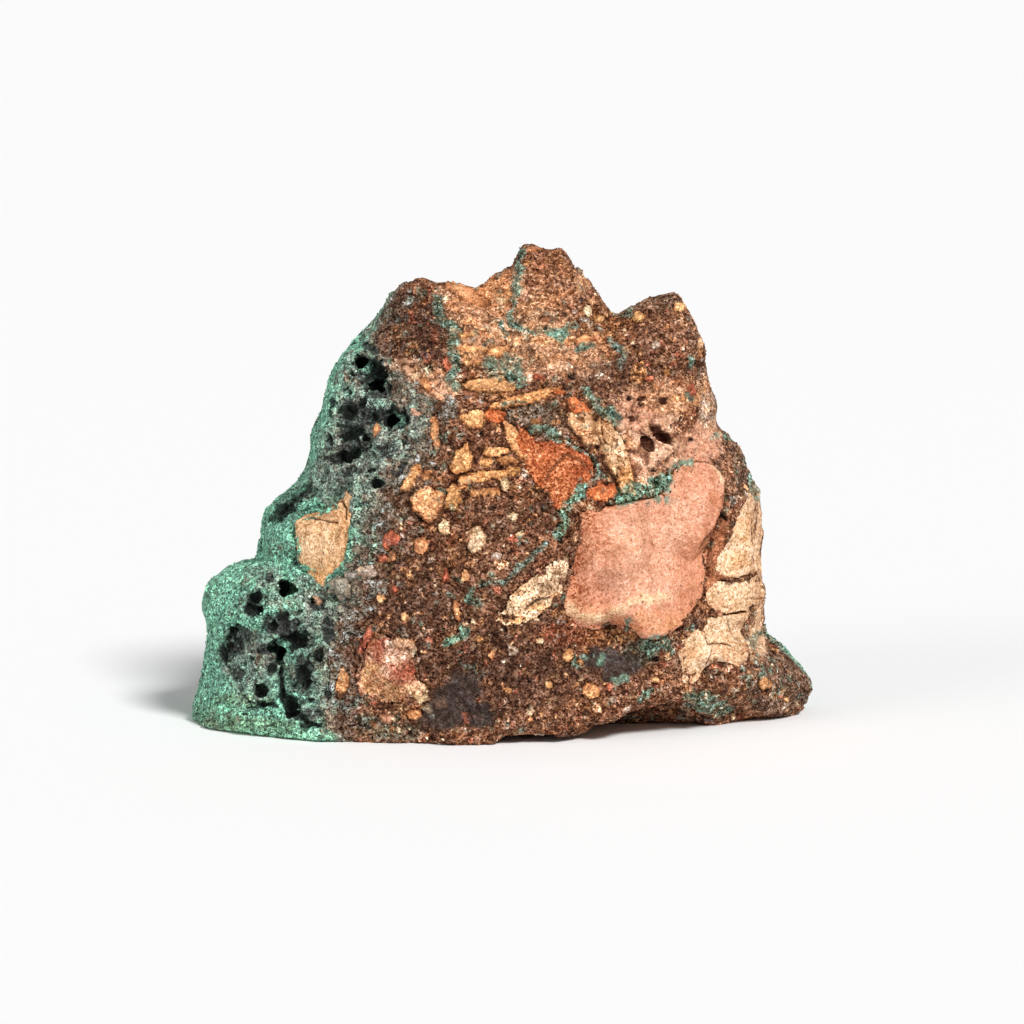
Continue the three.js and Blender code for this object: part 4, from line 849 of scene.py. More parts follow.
def finish(skin, name, node, dress, flat=False):
    """Makes the stone an object in metres that stands for its CAD node."""
    skin.press()
    mesh = skin.mesh
    mesh.name = name
    move_points(mesh, skin.points * MM)
    tone = mesh.attributes.new("tone", "FLOAT_COLOR", "POINT")
    colours = np.ones((len(skin.points), 4), np.float32)
    colours[:, :3] = np.clip(skin.tone, 0.002, 0.95)
    tone.data.foreach_set("color", colours.ravel())
    for label, values in (("grain", skin.grain), ("grit", skin.grit)):
        layer = mesh.attributes.new(label, "FLOAT", "POINT")
        layer.data.foreach_set("value", np.clip(values, 0.0, 2.0).astype(np.float32))
    mesh.polygons.foreach_set("use_smooth", np.full(len(mesh.polygons), not flat))
    mesh.materials.clear()
    mesh.materials.append(finish_of(dress))
    mesh.update()
    piece = new_object(name, mesh)
    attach(piece, BODY)
    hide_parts(node)


# ---- finishes ----
def ramp(nodes, links, value, stops):
    """A value turned into one factor, or one for each of red, green and blue, by (place, factor) stops."""
    curve = nodes.new("ShaderNodeValToRGB")
    places = curve.color_ramp.elements
    while len(places) < len(stops):
        places.new(0.5)
    for element, (place, factor) in zip(places, stops):
        element.position = place
        element.color = (*np.broadcast_to(factor, 3), 1.0)
    links.new(value, curve.inputs["Fac"])
    return curve.outputs["Color"]


def product(nodes, links, first, second, kind="MULTIPLY"):
    """Two colours or factors put together number by number."""
    both = new_node(nodes, "ShaderNodeVectorMath", operation=kind)
    links.new(first, both.inputs[0])
    links.new(second, both.inputs[1])
    return both.outputs["Vector"]


def grain_stops(dark, light, depth):
    """Stops of grain colours from dark to light, whose mean is 1. The dark ones are deeper in colour."""
    places = (0.0, 0.1, 0.25, 0.5, 0.75, 0.9, 1.0)
    strays = (-2.0, -1.28, -0.67, 0.0, 0.67, 1.28, 1.9)
    factors = np.exp([[stray * (dark if stray < 0 else light) * share for share in depth]
                      for stray in strays])
    steps = np.diff(places)[:, None]
    factors /= np.sum(steps * (factors[1:] + factors[:-1]) / 2.0, axis=0)
    return [(place, tuple(factor)) for place, factor in zip(places, factors)]


def fleck(nodes, links, where, size, stops):
    """Grains of one size in millimetres, each with a colour factor by its own number."""
    grains = new_node(nodes, "ShaderNodeTexVoronoi", [("Scale", 1.0 / (size * MM))])
    links.new(where, grains.inputs["Vector"])
    numbers = nodes.new("ShaderNodeSeparateColor")
    links.new(grains.outputs["Color"], numbers.inputs["Color"])
    factor = ramp(nodes, links, numbers.outputs["Red"], stops)
    return factor, numbers.outputs["Green"], grains.outputs["Distance"]


def new_node(nodes, kind, inputs=(), **settings):
    """A node with its settings and the numbers on its own inputs."""
    node = nodes.new(kind)
    for setting, value in settings.items():
        setattr(node, setting, value)
    for socket, value in inputs:
        node.inputs[socket].default_value = value
    return node


def grain_colours(nodes, links, place, size, dark, light, depth):
    """The colour factor of grains of two sizes, as strong as the stone says, and two of their numbers."""
    grain = new_node(nodes, "ShaderNodeAttribute", attribute_name="grain")
    small, hue, pitted = fleck(nodes, links, place, size, grain_stops(dark, light, depth))
    large, _, _ = fleck(nodes, links, place, size * 2.3, grain_stops(0.45 * dark, 0.45 * light, depth))
    strength = new_node(nodes, "ShaderNodeMix", data_type="VECTOR", clamp_factor=False)
    plain, grainy = [socket for socket in strength.inputs if socket.name in "AB" and socket.type == "VECTOR"]
    plain.default_value = (1.0, 1.0, 1.0)
    links.new(grain.outputs["Fac"], strength.inputs["Factor"])
    links.new(product(nodes, links, small, large), grainy)
    return next(socket for socket in strength.outputs if socket.type == "VECTOR"), hue, pitted


def stone_finish(name, size, dark, light, depth, roughness, bump, sheen=0.0):
    """A granular stone: painted colour, grains of two sizes, a shift of hue, and a fine rough surface."""
    material = bpy.data.materials.new(name)
    material.use_nodes = True
    nodes = material.node_tree.nodes
    links = material.node_tree.links
    shader = nodes["Principled BSDF"]
    place = nodes.new("ShaderNodeTexCoord").outputs["Object"]
    tone = new_node(nodes, "ShaderNodeAttribute", attribute_name="tone")
    grains, hue, pitted = grain_colours(nodes, links, place, size, dark, light, depth)
    cloud = new_node(nodes, "ShaderNodeTexNoise", (("Scale", 1.0 / (CLOUD_SIZE * MM)), ("Detail", 4.0)))
    links.new(place, cloud.inputs["Vector"])
    clouds = 0.18 * math.sqrt(dark)
    clouded = ramp(nodes, links, cloud.outputs["Fac"], ((0.3, 1.0 - clouds), (0.7, 1.0 + 0.9 * clouds)))
    shifted = ramp(nodes, links, hue, ((0.0, WARM_GRAIN), (1.0, COOL_GRAIN)))
    colour = tone.outputs["Color"]
    for factor in (grains, clouded, shifted):
        colour = product(nodes, links, colour, factor)
    links.new(colour, shader.inputs["Base Color"])
    fine = new_node(nodes, "ShaderNodeTexNoise", (("Scale", 1.0 / (1.4 * size * MM)), ("Detail", 3.0)))
    links.new(place, fine.inputs["Vector"])
    relief = new_node(nodes, "ShaderNodeBump", (("Strength", bump), ("Distance", 0.6 * size * MM)))
    links.new(product(nodes, links, fine.outputs["Fac"], pitted, "ADD"), relief.inputs["Height"])
    links.new(relief.outputs["Normal"], shader.inputs["Normal"])
    gloss = new_node(nodes, "ShaderNodeMapRange", (
        ("To Min", roughness - UNEVEN_GLOSS), ("To Max", min(1.0, roughness + UNEVEN_GLOSS))))
    links.new(fine.outputs["Fac"], gloss.inputs["Value"])
    links.new(gloss.outputs["Result"], shader.inputs["Roughness"])
    look = {"Specular IOR Level": 0.12}
    if sheen:
        look |= {"Sheen Weight": sheen, "Sheen Roughness": 0.5, "Sheen Tint": (*linear("velvet_light"), 1.0)}
    for label, value in look.items():
        shader.inputs[label].default_value = value
    return material


# Grain size in millimetres, how dark and how light single grains are, how much more red, green and blue
# darken in the dark ones, and the surface.
FINISHES = {
    "breccia": dict(size=0.3, dark=1.05, light=0.42, depth=(1, 1.25, 1.5), roughness=0.82, bump=0.8),
    "malachite": dict(
        size=0.24, dark=1.3, light=0.45, depth=(0.92, 1.04, 1), roughness=0.8, bump=0.8, sheen=0.2),
    "salmon": dict(size=0.28, dark=0.28, light=0.15, depth=(1, 1.5, 1.9), roughness=0.6, bump=0.35),
    "orange": dict(size=0.28, dark=0.55, light=0.35, depth=(1, 1.5, 2), roughness=0.66, bump=0.5),
    "slab": dict(size=0.3, dark=0.6, light=0.25, depth=(1, 1.3, 1.7), roughness=0.8, bump=0.6),
    "wood": dict(size=0.3, dark=0.8, light=0.3, depth=(1, 1.2, 1.4), roughness=0.8, bump=0.6),
    "cream": dict(size=0.28, dark=0.38, light=0.16, depth=(1, 1.35, 1.85), roughness=0.8, bump=0.55),
    "rusty": dict(size=0.28, dark=0.6, light=0.32, depth=(1, 1.35, 1.6), roughness=0.78, bump=0.7),
}
# The size in millimetres of the soft clouds, the factors between which single grains shift from warm to cool,
# and how far the roughness goes up and down.
CLOUD_SIZE = 3.2
WARM_GRAIN = (1.07, 0.98, 0.93)
COOL_GRAIN = (0.95, 1.01, 1.04)
UNEVEN_GLOSS = 0.12


def finish_of(name):
    """The finish of that name, made once."""
    label = name + "_finish"
    return bpy.data.materials.get(label) or stone_finish(label, **FINISHES[name])


# ---- the stones ----
INCLUSIONS = (
    "salmon_mass", "orange_mass", "cream_wedge", "tan_slab_lower", "tan_slab_upper", "cream_fragment",
    "rusty_fragment", "cream_block_top", "cream_block_middle", "cream_block_bottom",
)
BRECCIA_INCLUSIONS = tuple(name for name in INCLUSIONS if name != "cream_fragment")
# Millimetres: how far the set-in stones swell to close gaps, how far the two rocks run over their border, the
# faces of the coarse skin and of its cutter, and how deep rock is sunk under a stone and past the border.
SWELL = 0.45
OVERLAP = 1.9
COARSE = 0.6
CUTTER_FACE = 0.8
SUNK = 1.25
BEYOND = 0.9
# The share of hidden faces that is left out. Hidden is what lies this deep, this far past the border, or this
# far inside the edges of a set-in stone.
SPARED = 0.9
HIDDEN_DEPTH = 0.8
HIDDEN_PAST = 2.6
HIDDEN_UNDER = 1.3
# How far from a stone its distance is still measured.
FAR = 5.0
# How far a surface turns to the viewer before it counts as front at all, and wholly.
FRONT = (0.05, 0.35)
# The middle of the broken face, the number of directions in which the outline is measured from it, and the
# share by which the stones may be drawn in or out to meet it.
FACE_MIDDLE = (0.0, 18.0)
BEARINGS = 720
MOST_CHANGE = 0.12
# What rough_rock leaves for the rest: the reach and the change in each direction, and the ground before any
# hollow is cut, as a tree.
FITTING = {}
SMALL_PIECES = ("apricot", "tan", "cream", "brick", "rosy", "umber", "ochre", "bone", "russet", "smoke")


def outline_reach(bearings):
    """How far the outline lies from its middle in each direction."""
    corners = np.array(OUTLINE)
    ends = np.roll(corners, -1, axis=0)
    run = ends - corners
    from_middle = corners - np.array(FACE_MIDDLE)
    reach = np.zeros(len(bearings))
    for place, bearing in enumerate(bearings):
        ray = (math.cos(bearing), math.sin(bearing))
        cross = ray[0] * run[:, 1] - ray[1] * run[:, 0]
        cross = np.where(abs(cross) < 1e-9, 1e-9, cross)
        along = (from_middle[:, 0] * run[:, 1] - from_middle[:, 1] * run[:, 0]) / cross
        share = (from_middle[:, 0] * ray[1] - from_middle[:, 1] * ray[0]) / cross
        reach[place] = along[(along > 0) & (share >= 0) & (share <= 1)].max()
    return reach


def polar(points):
    """Bearing and distance of each point from the middle of the broken face, and the enlargement there."""
    across, up, nearer = on_face(points)
    away = (across - FACE_MIDDLE[0], up - FACE_MIDDLE[1])
    return np.arctan2(away[1], away[0]), np.hypot(*away), nearer


def measure_reach(points):
    """How far the stones reach in each direction, and how far they should."""
    bearing, away, _ = polar(points)
    step = np.floor((bearing + math.pi) / math.tau * BEARINGS).astype(int) % BEARINGS
    reach = np.zeros(BEARINGS)
    np.maximum.at(reach, step, away)
    wanted = outline_reach((np.arange(BEARINGS) + 0.5) / BEARINGS * math.tau - math.pi)
    FITTING["reach"] = reach
    FITTING["change"] = np.clip(wanted / np.maximum(reach, 1.0), 1.0 - MOST_CHANGE, 1.0 + MOST_CHANGE) - 1.0


def fit(points):
    """The points drawn in or out so that the whole keeps to its outline. The ground stays where it is."""
    bearing, away, nearer = polar(points)
    place = (bearing + math.pi) / math.tau * BEARINGS - 0.5
    low = np.floor(place).astype(int)
    share = place - low
    between = [FITTING[key][low % BEARINGS] * (1 - share) + FITTING[key][(low + 1) % BEARINGS] * share
               for key in ("reach", "change")]
    shift = away * between[1] * smooth(away / between[0], 0.6, 0.97)
    moved = points.copy()
    moved[:, 0] += shift * np.cos(bearing) / nearer
    moved[:, 2] += shift * np.sin(bearing) / nearer / math.cos(LEAN) * smooth(points[:, 2], 2.0, 12.0)
    return moved


def rough_rock():
    """The whole rock with every stone in it as one coarse skin, with its larger chips, buds and hollows."""
    if "rough_rock" in bpy.data.meshes:
        return bpy.data.meshes["rough_rock"]
    swells = {"host_breccia": 0.2, "malachite_crust": 0.2, **dict.fromkeys(INCLUSIONS, SWELL)}
    skin = Skin(reskinned(read_stones(swells), COARSE, 10))
    ground = skin.mesh.copy()
    points = skin.points
    share = stained_share(skin, MALACHITE_STAINS, VUGGY)
    green = smooth(malachite_lean(points), -1.0, 1.0)
    calm = covered_by_inclusion(skin, np.zeros(3))
    chipped = 0.45 * rough(points, 6.0, 21, 3)
    first, second, number, _ = cells(points + 0.8 * rough(points, 3.0, 23, 2)[:, None], 4.4, 31)
    chipped += 0.9 * (number - 0.5) * smooth(second - first, 0.02, 0.25)
    budded = grape_relief(points, 6.0, 101, 1.0) - 0.4
    budded += (grape_relief(points, 9.0, 102, 2.6) - 1.4) * fade(skin.facing, -0.5, 0.0)
    warped = points + 1.5 * np.stack([rough(points, 2.4, 106 + axis, 3) for axis in range(3)], axis=1)
    first, second, number, _ = cells(warped, 3.1, 104)
    torn = (number < 0.36) * fade(first, 0.26, 0.5)
    spongy = 0.7 * rough(points, 2.4, 105, 3) - 1.5 * torn
    green_relief = (1.0 - share) * budded + share * spongy
    skin.relief += ((1.0 - green) * chipped + green * green_relief) * (1.0 - calm)
    for spot in [spot for spot in BRECCIA_HOLES if spot[2] > WIDE_HOLE] + TORN_HOLES:
        skin.hollow(*spot)
    for spot in MALACHITE_VUGS:
        skin.hollow(*spot, "hollow")
    for gash in GASHES:
        skin.crack(*gash, "hollow", 1.0)
    skin.press()
    measure_reach(skin.points)
    move_points(ground, fit(points_of(ground)))
    FITTING["ground"] = tree_of(ground)
    bpy.data.meshes.remove(ground)
    skin.points = fit(skin.points)
    skin.press()
    skin.mesh.name = "rough_rock"
    return skin.mesh


def part_of_rock(node, voxel):
    """The part of the rough rock that one CAD stone fills, and a little more, with finer faces in front."""
    rock = rough_rock().copy()
    cutter = new_object("cutter", reskinned(read_stones({node: OVERLAP}), CUTTER_FACE, 0))
    move_points(cutter.data, fit(points_of(cutter.data)))

    def prepare(piece):
        cut = piece.modifiers.new("part", "BOOLEAN")
        cut.operation = "INTERSECT"
        cut.solver = "MANIFOLD"
        cut.object = cutter
    part = applied(rock, prepare)
    bare = cutter.data
    bpy.data.objects.remove(cutter)
    bpy.data.meshes.remove(bare)
    skin = Skin(reskinned(part, voxel, 1))
    skin = Skin(refined(skin.mesh, (skin.facing > 0.1) & ~hidden_part(skin, node)))
    return thinned(skin.mesh, hidden_part(skin, node))


def hidden_part(skin, node):
    """True for the points deep inside the rock, or well under a set-in stone or the other kind of rock."""
    side = malachite_lean(skin.points) * (1.0 if node == "malachite_crust" else -1.0)
    hidden = (distances(skin.points, tree_of(rough_rock()), 1.5) < -HIDDEN_DEPTH) | (side < -HIDDEN_PAST)
    shifts = HIDDEN_UNDER * np.array([(-1, 0, 0), (1, 0, 0), (0, 0, -1), (0, 0, 1)])
    under = [covered_by_inclusion(skin, shift) for shift in shifts]
    return hidden | (np.min(under, axis=0) > 0.5)


def malachite_lean(points):
    """How many millimetres nearer each point lies to the malachite than to the breccia."""
    host = distances(points, stone_tree(["host_breccia", *BRECCIA_INCLUSIONS]), FAR)
    crust = distances(points, stone_tree(["malachite_crust", "cream_fragment"]), FAR)
    return np.clip(host - crust, -FAR, FAR)


def green_share(skin, side):
    """Speckled from 0 on the breccia's side of the border to 1 on the malachite's."""
    wander = 2.6 * rough(skin.points, 7.0, 64, 2)
    return smooth(0.75 * rough(skin.points, 1.5, 62, 4) + (side + wander) / 5.4, -0.2, 0.25)


def level_out(skin):
    """Counts the walls of a hollow as turned the way that the surface in front of them is."""
    sight = Vector(TOWARDS_VIEWER)
    ahead = 8.0
    for place, point in enumerate(skin.points.tolist()):
        normal = FITTING["ground"].ray_cast(Vector(point) + ahead * sight, -sight, ahead + 1.5)[1]
        if normal:
            skin.facing[place] = max(skin.facing[place], normal.dot(sight))
    skin.front = smooth(skin.facing, *FRONT)


def covered_by_inclusion(skin, shift):
    """1 where a set-in stone lies just under the skin, looked for some millimetres aside, and 0 elsewhere."""
    tree = stone_tree(INCLUSIONS)
    starts = skin.points + shift + 0.6 * skin.normals
    cover = np.zeros(len(skin.points))
    for place in np.flatnonzero(skin.facing > -0.3):
        spot, _, _, _ = tree.ray_cast(Vector(starts[place]), Vector(-skin.normals[place]), 2.0)
        cover[place] = spot is not None
    return cover


def ragged_cover(skin, reach):
    """1 where the rock gives way to a set-in stone, ragged as far as reach, and 0 elsewhere."""
    # Beside the blocks at the right the edge is less ragged.
    reach = reach * (1.0 - 0.7 * smooth(skin.across, 35.0, 40.0))
    wander = np.stack([rough(skin.points, 2.8, 331 + axis, 4) for axis in range(3)], axis=1)
    bare = covered_by_inclusion(skin, np.zeros(3))
    return np.minimum(bare, covered_by_inclusion(skin, reach[:, None] * wander))


# The half width from which a hole is cut into the rough rock, and isn't only a pit in its skin.
WIDE_HOLE = 0.85
# Stains that run on into the smooth stones beside them, those of the malachite's torn face, and lively ones.
MERGED = ("salmon", "salmon_pale", "salmon_edge", "block")
VUGGY = ("vuggy", "vuggy_dark", "vuggy_green")
LIVELY = ("rosy", "rose", "pale_rose", "apricot", "strip", "cream_stain", "salmon", "salmon_pale")
# Smudges on the breccia: colour, size, where the noise behind it starts to show, and strength in the dull and
# in the lively parts.
SMUDGES = (
    ("umber", 3.4, 0.25, 0.65, 0.2), ("ochre", 2.6, 0.4, 0.4, 0.6), ("apricot", 1.9, 0.45, 0.2, 0.75),
    ("pale_rose", 1.6, 0.5, 0.15, 0.7), ("pit", 1.4, 0.45, 0.7, 0.5), ("brick", 1.2, 0.62, 0.6, 0.5),
    ("cream", 0.9, 0.6, 0.35, 0.5),
)
# Level layers in the lively parts: colour, where the noise behind it starts to show, and strength.
LAYERS = (
    ("pale_rose", 0.1, 0.7), ("apricot", 0.25, 0.75), ("straw", 0.3, 0.75), ("russet", 0.3, 0.6),
    ("maroon", 0.55, 0.75),
)


def rock_skin(node, setting, ground):
    """The skin of one of the two rocks, and how far its points lean to the malachite, plain and ragged."""
    skin = Skin(part_of_rock(node, getattr(bpy.context.scene.specimen_sizes, setting)), ground)
    level_out(skin)
    side = malachite_lean(skin.points)
    return skin, side, side + 0.9 * rough(skin.points, 2.0, 22, 3)


def set_clasts(skin):
    """The broken pieces that lie on a rock."""
    for number, spot in enumerate(CLASTS):
        skin.clast(number, *spot)


def draw_veins(skin):
    """The green veins that cross a stone."""
    for number, course in enumerate(VEINS):
        skin.vein(number, *course)


def tuck_in(skin, buried, past):
    """Sinks the rock under the set-in stones and past its border, with painted shade round the stones."""
    skin.relief = skin.relief * (1.0 - buried) - SUNK * buried - BEYOND * smooth(past, 0.1, 1.0)
    # Painted shade round the set-in stones.
    skin.shade(1.0 - 0.35 * buried)


def lay_ground(skin):
    """A ground mass that drifts between brown, red-brown and dark, with small pieces and stains in it."""
    skin.mottle("russet", 0.5, 7.0, 41, 3, -0.1, 0.8)
    skin.mottle("umber", 0.6, 6.0, 42, 3, 0.0, 0.8)
    skin.pieces_between(1.25, 52, 0.22, 0.16)
    skin.stains(BRECCIA_STAINS)
    skin.relief += 0.24 * rough(skin.points, 1.9, 45, 3)
    first, second, number, other = cells(skin.points, 1.5, 46)
    skin.relief += 0.3 * (number - 0.5) * smooth(second - first, 0.02, 0.22)
    skin.shade(0.8 + 0.4 * other)


def enliven(skin, lively, smoky):
    """Smudges everywhere but in the smoke, and level layers and pricks in the lively part."""
    points = skin.points
    for number, (colour, size, start, dull, bright) in enumerate(SMUDGES):
        strength = (dull + (bright - dull) * lively) * (1.0 - smoky)
        skin.mottle(colour, strength, size, 470 + number, 4, start, start + 0.3)
    flattened = points * np.array([0.28, 0.28, 1.0]) + 0.12 * noise(points, 3.0, 490)[:, None]
    for number, (colour, start, strength) in enumerate(LAYERS):
        layer = rough(flattened, 1.5, 491 + number, 4)
        skin.wash(lively * strength * smooth(layer, start, start + 0.25), colour)
        skin.relief += 0.14 * lively * layer
    for wanted, share in ((True, 0.4), (False, 0.3)):
        skin.stains([spot for spot in BRECCIA_STAINS if (spot[4] in LIVELY) == wanted], share)
    skin.grain *= 1.0 - 0.3 * lively
    first, _, number, _ = cells(points, 1.0, 66)
    pricked = lively * (number < 0.34) * fade(first, 0.16, 0.34)
    skin.wash(0.8 * pricked, "maroon")
    skin.relief -= 0.25 * pricked


def tear(skin):
    """The stains that hide the edges of the smooth stones, and the needles and holes."""
    merged = stained_share(skin, BRECCIA_STAINS, MERGED)
    skin.stains([spot for spot in BRECCIA_STAINS if spot[4] in MERGED], 0.85)
    skin.solid = np.maximum(skin.solid, merged)
    skin.grain *= 1.0 - 0.5 * merged
    for spot in BURSTS:
        skin.burst(*spot)
    # The holes are painted dark at the bottom as painted shade.
    for spot in BRECCIA_HOLES:
        skin.hollow(*spot[:5], 0.45 * spot[5])
    for spot in TORN_HOLES:
        skin.hollow(*spot, "maroon")


def make_breccia():
    """The red-brown host rock, packed with small pieces, round the larger stones set in it."""
    skin, side, lean = rock_skin("host_breccia", "breccia_grain", "matrix")
    skin.depth = np.array(FINISHES["breccia"]["depth"])
    points = skin.points
    buried = ragged_cover(skin, 2.2)
    lively = stained_share(skin, BRECCIA_STAINS, LIVELY)
    smoky = stained_share(skin, BRECCIA_STAINS, ("smoke",), 0.4)
    lay_ground(skin)
    enliven(skin, lively, smoky)
    skin.pieces_between(2.5, 51, 0.12, 0.22)
    skin.pieces_between(0.75, 53, 0.2, 0.1, 0.3)
    skin.wash(0.85 * smoky, "smoke")
    skin.grain *= 1.0 - 0.45 * smoky
    dull = 1.0 - 0.7 * lively
    skin.wash(0.7 * dull * smooth(side + 1.5 * rough(points, 3.0, 65, 3), -4.8, -1.0), "umber")
    skin.wash(0.5 * dull * smooth(side + 1.5 * rough(points, 2.0, 67, 3), -4.0, -0.5), "lump")
    skin.wash(0.85 * green_share(skin, side), "vuggy")
    set_clasts(skin)
    tear(skin)
    fields = smooth(rough(points, 9.0, 62, 2), -0.15, 0.5)
    skin.wash(0.6 * smooth(rough(points, 1.4, 61, 3), 0.42, 0.75) * fields, "green")
    # Painted shade in the low places and painted light on the raised ones.
    skin.shade(0.84 + 0.34 * smooth(skin.relief, -0.25, 0.35))
    skin.shade(np.exp(0.4 * noise(points, 0.6, 63) * (1.0 - 0.7 * np.maximum(skin.solid, 0.6 * lively))))
    draw_veins(skin)
    tuck_in(skin, buried, lean)
    skin.grit = (0.25 + 0.75 * skin.front) * (1.0 - buried) * fade(lean, -0.3, 0.3) * (1.0 - smoky)
    finish(skin, "breccia_rock", "host_breccia", "breccia", flat=True)


def grape_relief(points, size, seed, height):
    """Round buds side by side, like a bunch of grapes."""
    first, _, number, _ = cells(points, size, seed, 0.7)
    return height * (0.75 + 0.5 * number) * np.sqrt(np.clip(1.0 - (first / 0.85) ** 2, 0.0, 1.0))


def stained_share(skin, spots, colours, ragged=0.0):
    """How far each point lies within stains of some colours, from 0 to 1."""
    share = np.zeros(len(skin.points))
    for across, up, half_width, half_height, colour, strength in spots:
        if colour in colours:
            near, out = skin.spot(across, up, half_width, half_height)
            out = out + ragged * rough(skin.points[near], 2.4, 561, 4)
            share[near] = np.maximum(share[near], min(1.0, strength + 0.2) * fade(out, 0.8, 1.15))
    return share * skin.front


def velvet(skin, share):
    """Small buds, large buds behind, painted highlight and shade on both, and thin yellowish layers along the
    lower edge.
    """
    points = skin.points
    buds = grape_relief(points, 2.3, 111, 0.42) + grape_relief(points, 1.05, 112, 0.24)
    skin.relief += (1.0 - share) * (buds - 0.3)
    # Painted highlight on the tops of the small buds and painted shade between them.
    skin.wash(smooth(buds, 0.3, 0.62) * 0.5, "velvet_light")
    skin.wash(0.55 * fade(buds, 0.08, 0.32), "velvet_deep")
    # Painted highlight on the large buds behind and painted shade between them.
    large = grape_relief(points, 9.0, 102, 1.0)
    skin.wash(0.4 * (1.0 - skin.front) * smooth(large, 0.8, 1.1), "velvet_light")
    skin.wash(0.55 * (1.0 - skin.front) * fade(large, 0.1, 0.5), "velvet_deep")
    skin.dapple(5.0, 113, 0.16)
    skin.dapple(0.9, 114, 0.2)
    layered = rough(points * np.array([0.16, 0.16, 1.0]), 0.9, 122, 3)
    skin.wash(fade(points[:, 2] + 1.2 * layered, 1.0, 6.0) * 0.22, "ochre_green")
    skin.shade(np.exp(0.3 * layered * fade(points[:, 2], 3.0, 8.0)))


def sponge(skin, share, dark):
    """The grey torn face: lace, small holes painted near black as painted shade, and dark patches."""
    points = skin.points
    lace = rough(points, 1.5, 115, 4)
    first, _, number, _ = cells(points + 0.5 * rough(points, 1.3, 116, 2)[:, None], 1.5, 117)
    torn = (number < 0.24) * fade(first, 0.2, 0.48)
    skin.stains(MALACHITE_STAINS)
    skin.relief += share * (0.4 * lace - 0.75 * torn - 0.25 * dark + 0.12 * noise(points, 0.6, 118))
    skin.wash(share * 0.65 * smooth(lace, 0.05, 0.6), "vuggy_light")
    skin.mottle("vuggy_green", share * 0.65, 1.8, 119, 3, 0.1, 0.5)
    skin.mottle("lump", share * 0.35, 2.6, 120, 3, 0.3, 0.7)
    skin.wash(share * 0.25 * dark, "vuggy_dark")
    # Painted shade in the small holes.
    skin.wash(share * 0.85 * torn, "hollow")


def make_malachite():
    """The green growth: velvet buds outside and behind, a spongy torn face in front."""
    skin, side, lean = rock_skin("malachite_crust", "malachite_grain", "velvet")
    points = skin.points
    buried = ragged_cover(skin, 0.9)
    share = stained_share(skin, MALACHITE_STAINS, VUGGY)
    share = np.maximum(share, skin.front * fade(lean, 1.5, 3.0))
    share = smooth(share + 0.35 * rough(points, 2.4, 130, 3), 0.25, 0.75) * skin.front
    dark = smooth(rough(points, 2.8, 123, 4), 0.1, 0.45)
    velvet(skin, share)
    sponge(skin, share, dark)
    border = (0.3 + 0.7 * skin.front) * fade(side + 1.8 * rough(points, 3.0, 126, 3), 0.0, 4.6)
    skin.wash(0.6 * border, "lump")
    skin.mottle("umber", 0.5 * border, 1.3, 127, 3, -0.1, 0.4)
    brown = 1.0 - green_share(skin, side)
    skin.wash(0.8 * brown * (0.4 + 0.6 * skin.front), "lump")
    skin.mottle("umber", 0.7 * brown, 1.1, 125, 3, 0.0, 0.5)
    for spot in CHARCOAL:
        skin.hollow(*spot[:5], 0.7 * spot[5], "vuggy_dark")
    threads = fade(abs(rough(points, 2.4, 124, 3)), 0.03, 0.14)
    skin.wash(share * 0.6 * threads * (0.4 + 0.6 * dark), "vuggy_light")
    skin.relief += 0.16 * share * threads
    # The hollows and clefts are painted near black at the bottom as painted shade.
    for spot in MALACHITE_VUGS:
        skin.hollow(*spot[:5], 0.4, "hollow")
    for width, _, course in GASHES:
        skin.crack(width, 0.4, course, "hollow", 1.0)
    set_clasts(skin)
    skin.shade(np.exp(0.3 * noise(points, 0.6, 121) * (1.0 - 0.7 * skin.solid)))
    skin.grit = (0.35 + 0.65 * skin.front) * (1.0 - buried) * fade(-skin.relief, 0.3, 0.8)
    skin.grit *= smooth(lean, -0.3, 0.3)
    tuck_in(skin, buried, -lean)
    finish(skin, "malachite_growth", "malachite_crust", "malachite")


def bare_stone(node, ground, dress, voxel, swell=0.12, rounds=6):
    """One set-in stone with an even skin, rubbed down, and with large faces where the rock hides it."""
    skin = Skin(reskinned(read_stones({node: swell}), voxel, rounds), ground)
    rough_rock()
    skin.points = fit(skin.points)
    skin.press()
    skin = Skin(thinned(skin.mesh, skin.facing < -0.05), ground)
    skin.depth = np.array(FINISHES[dress]["depth"])
    return skin


def streaks(skin, turn, width, seed, strength, stretch=7.0):
    """Fibres that run along one direction of the face."""
    along, beside = turned(skin.across, skin.up, turn)
    places = np.stack([along / stretch, skin.points[:, 1] * 0.3, beside], axis=1)
    lines = rough(places, width, seed, 3)
    skin.shade(np.exp(strength * lines))
    return lines


def specks(skin, size, seed, share, colour, depth, strength=0.85):
    """Small dark pits scattered over a smooth stone."""
    first, _, number, _ = cells(skin.points, size, seed)
    cover = (number < share) * fade(first, 0.12, 0.3)
    skin.wash(strength * cover, colour)
    skin.relief -= depth * cover


def rim(skin, low=0.35, high=0.85):
    """How near each point is to the turned-down edge of a set-in stone."""
    return fade(skin.facing, low, high)


def crept_over(skin, seed, low=0.6, high=0.85):
    """Speckled rock that creeps over the edge of a set-in stone."""
    points = skin.points
    cover = smooth(rim(skin, 0.2, 0.7) + 0.5 * rough(points, 1.7, seed, 4), low, high)
    skin.wash(0.8 * cover, "matrix")
    skin.mottle("umber", 0.8 * cover, 1.0, seed + 1, 3, 0.0, 0.3)
    skin.mottle("ochre", 0.7 * cover, 1.2, seed + 2, 3, 0.25, 0.5)
    skin.grain = skin.grain * (1.0 - cover) + 1.6 * cover
    skin.relief += 0.15 * cover * rough(points, 0.9, seed + 3, 2)


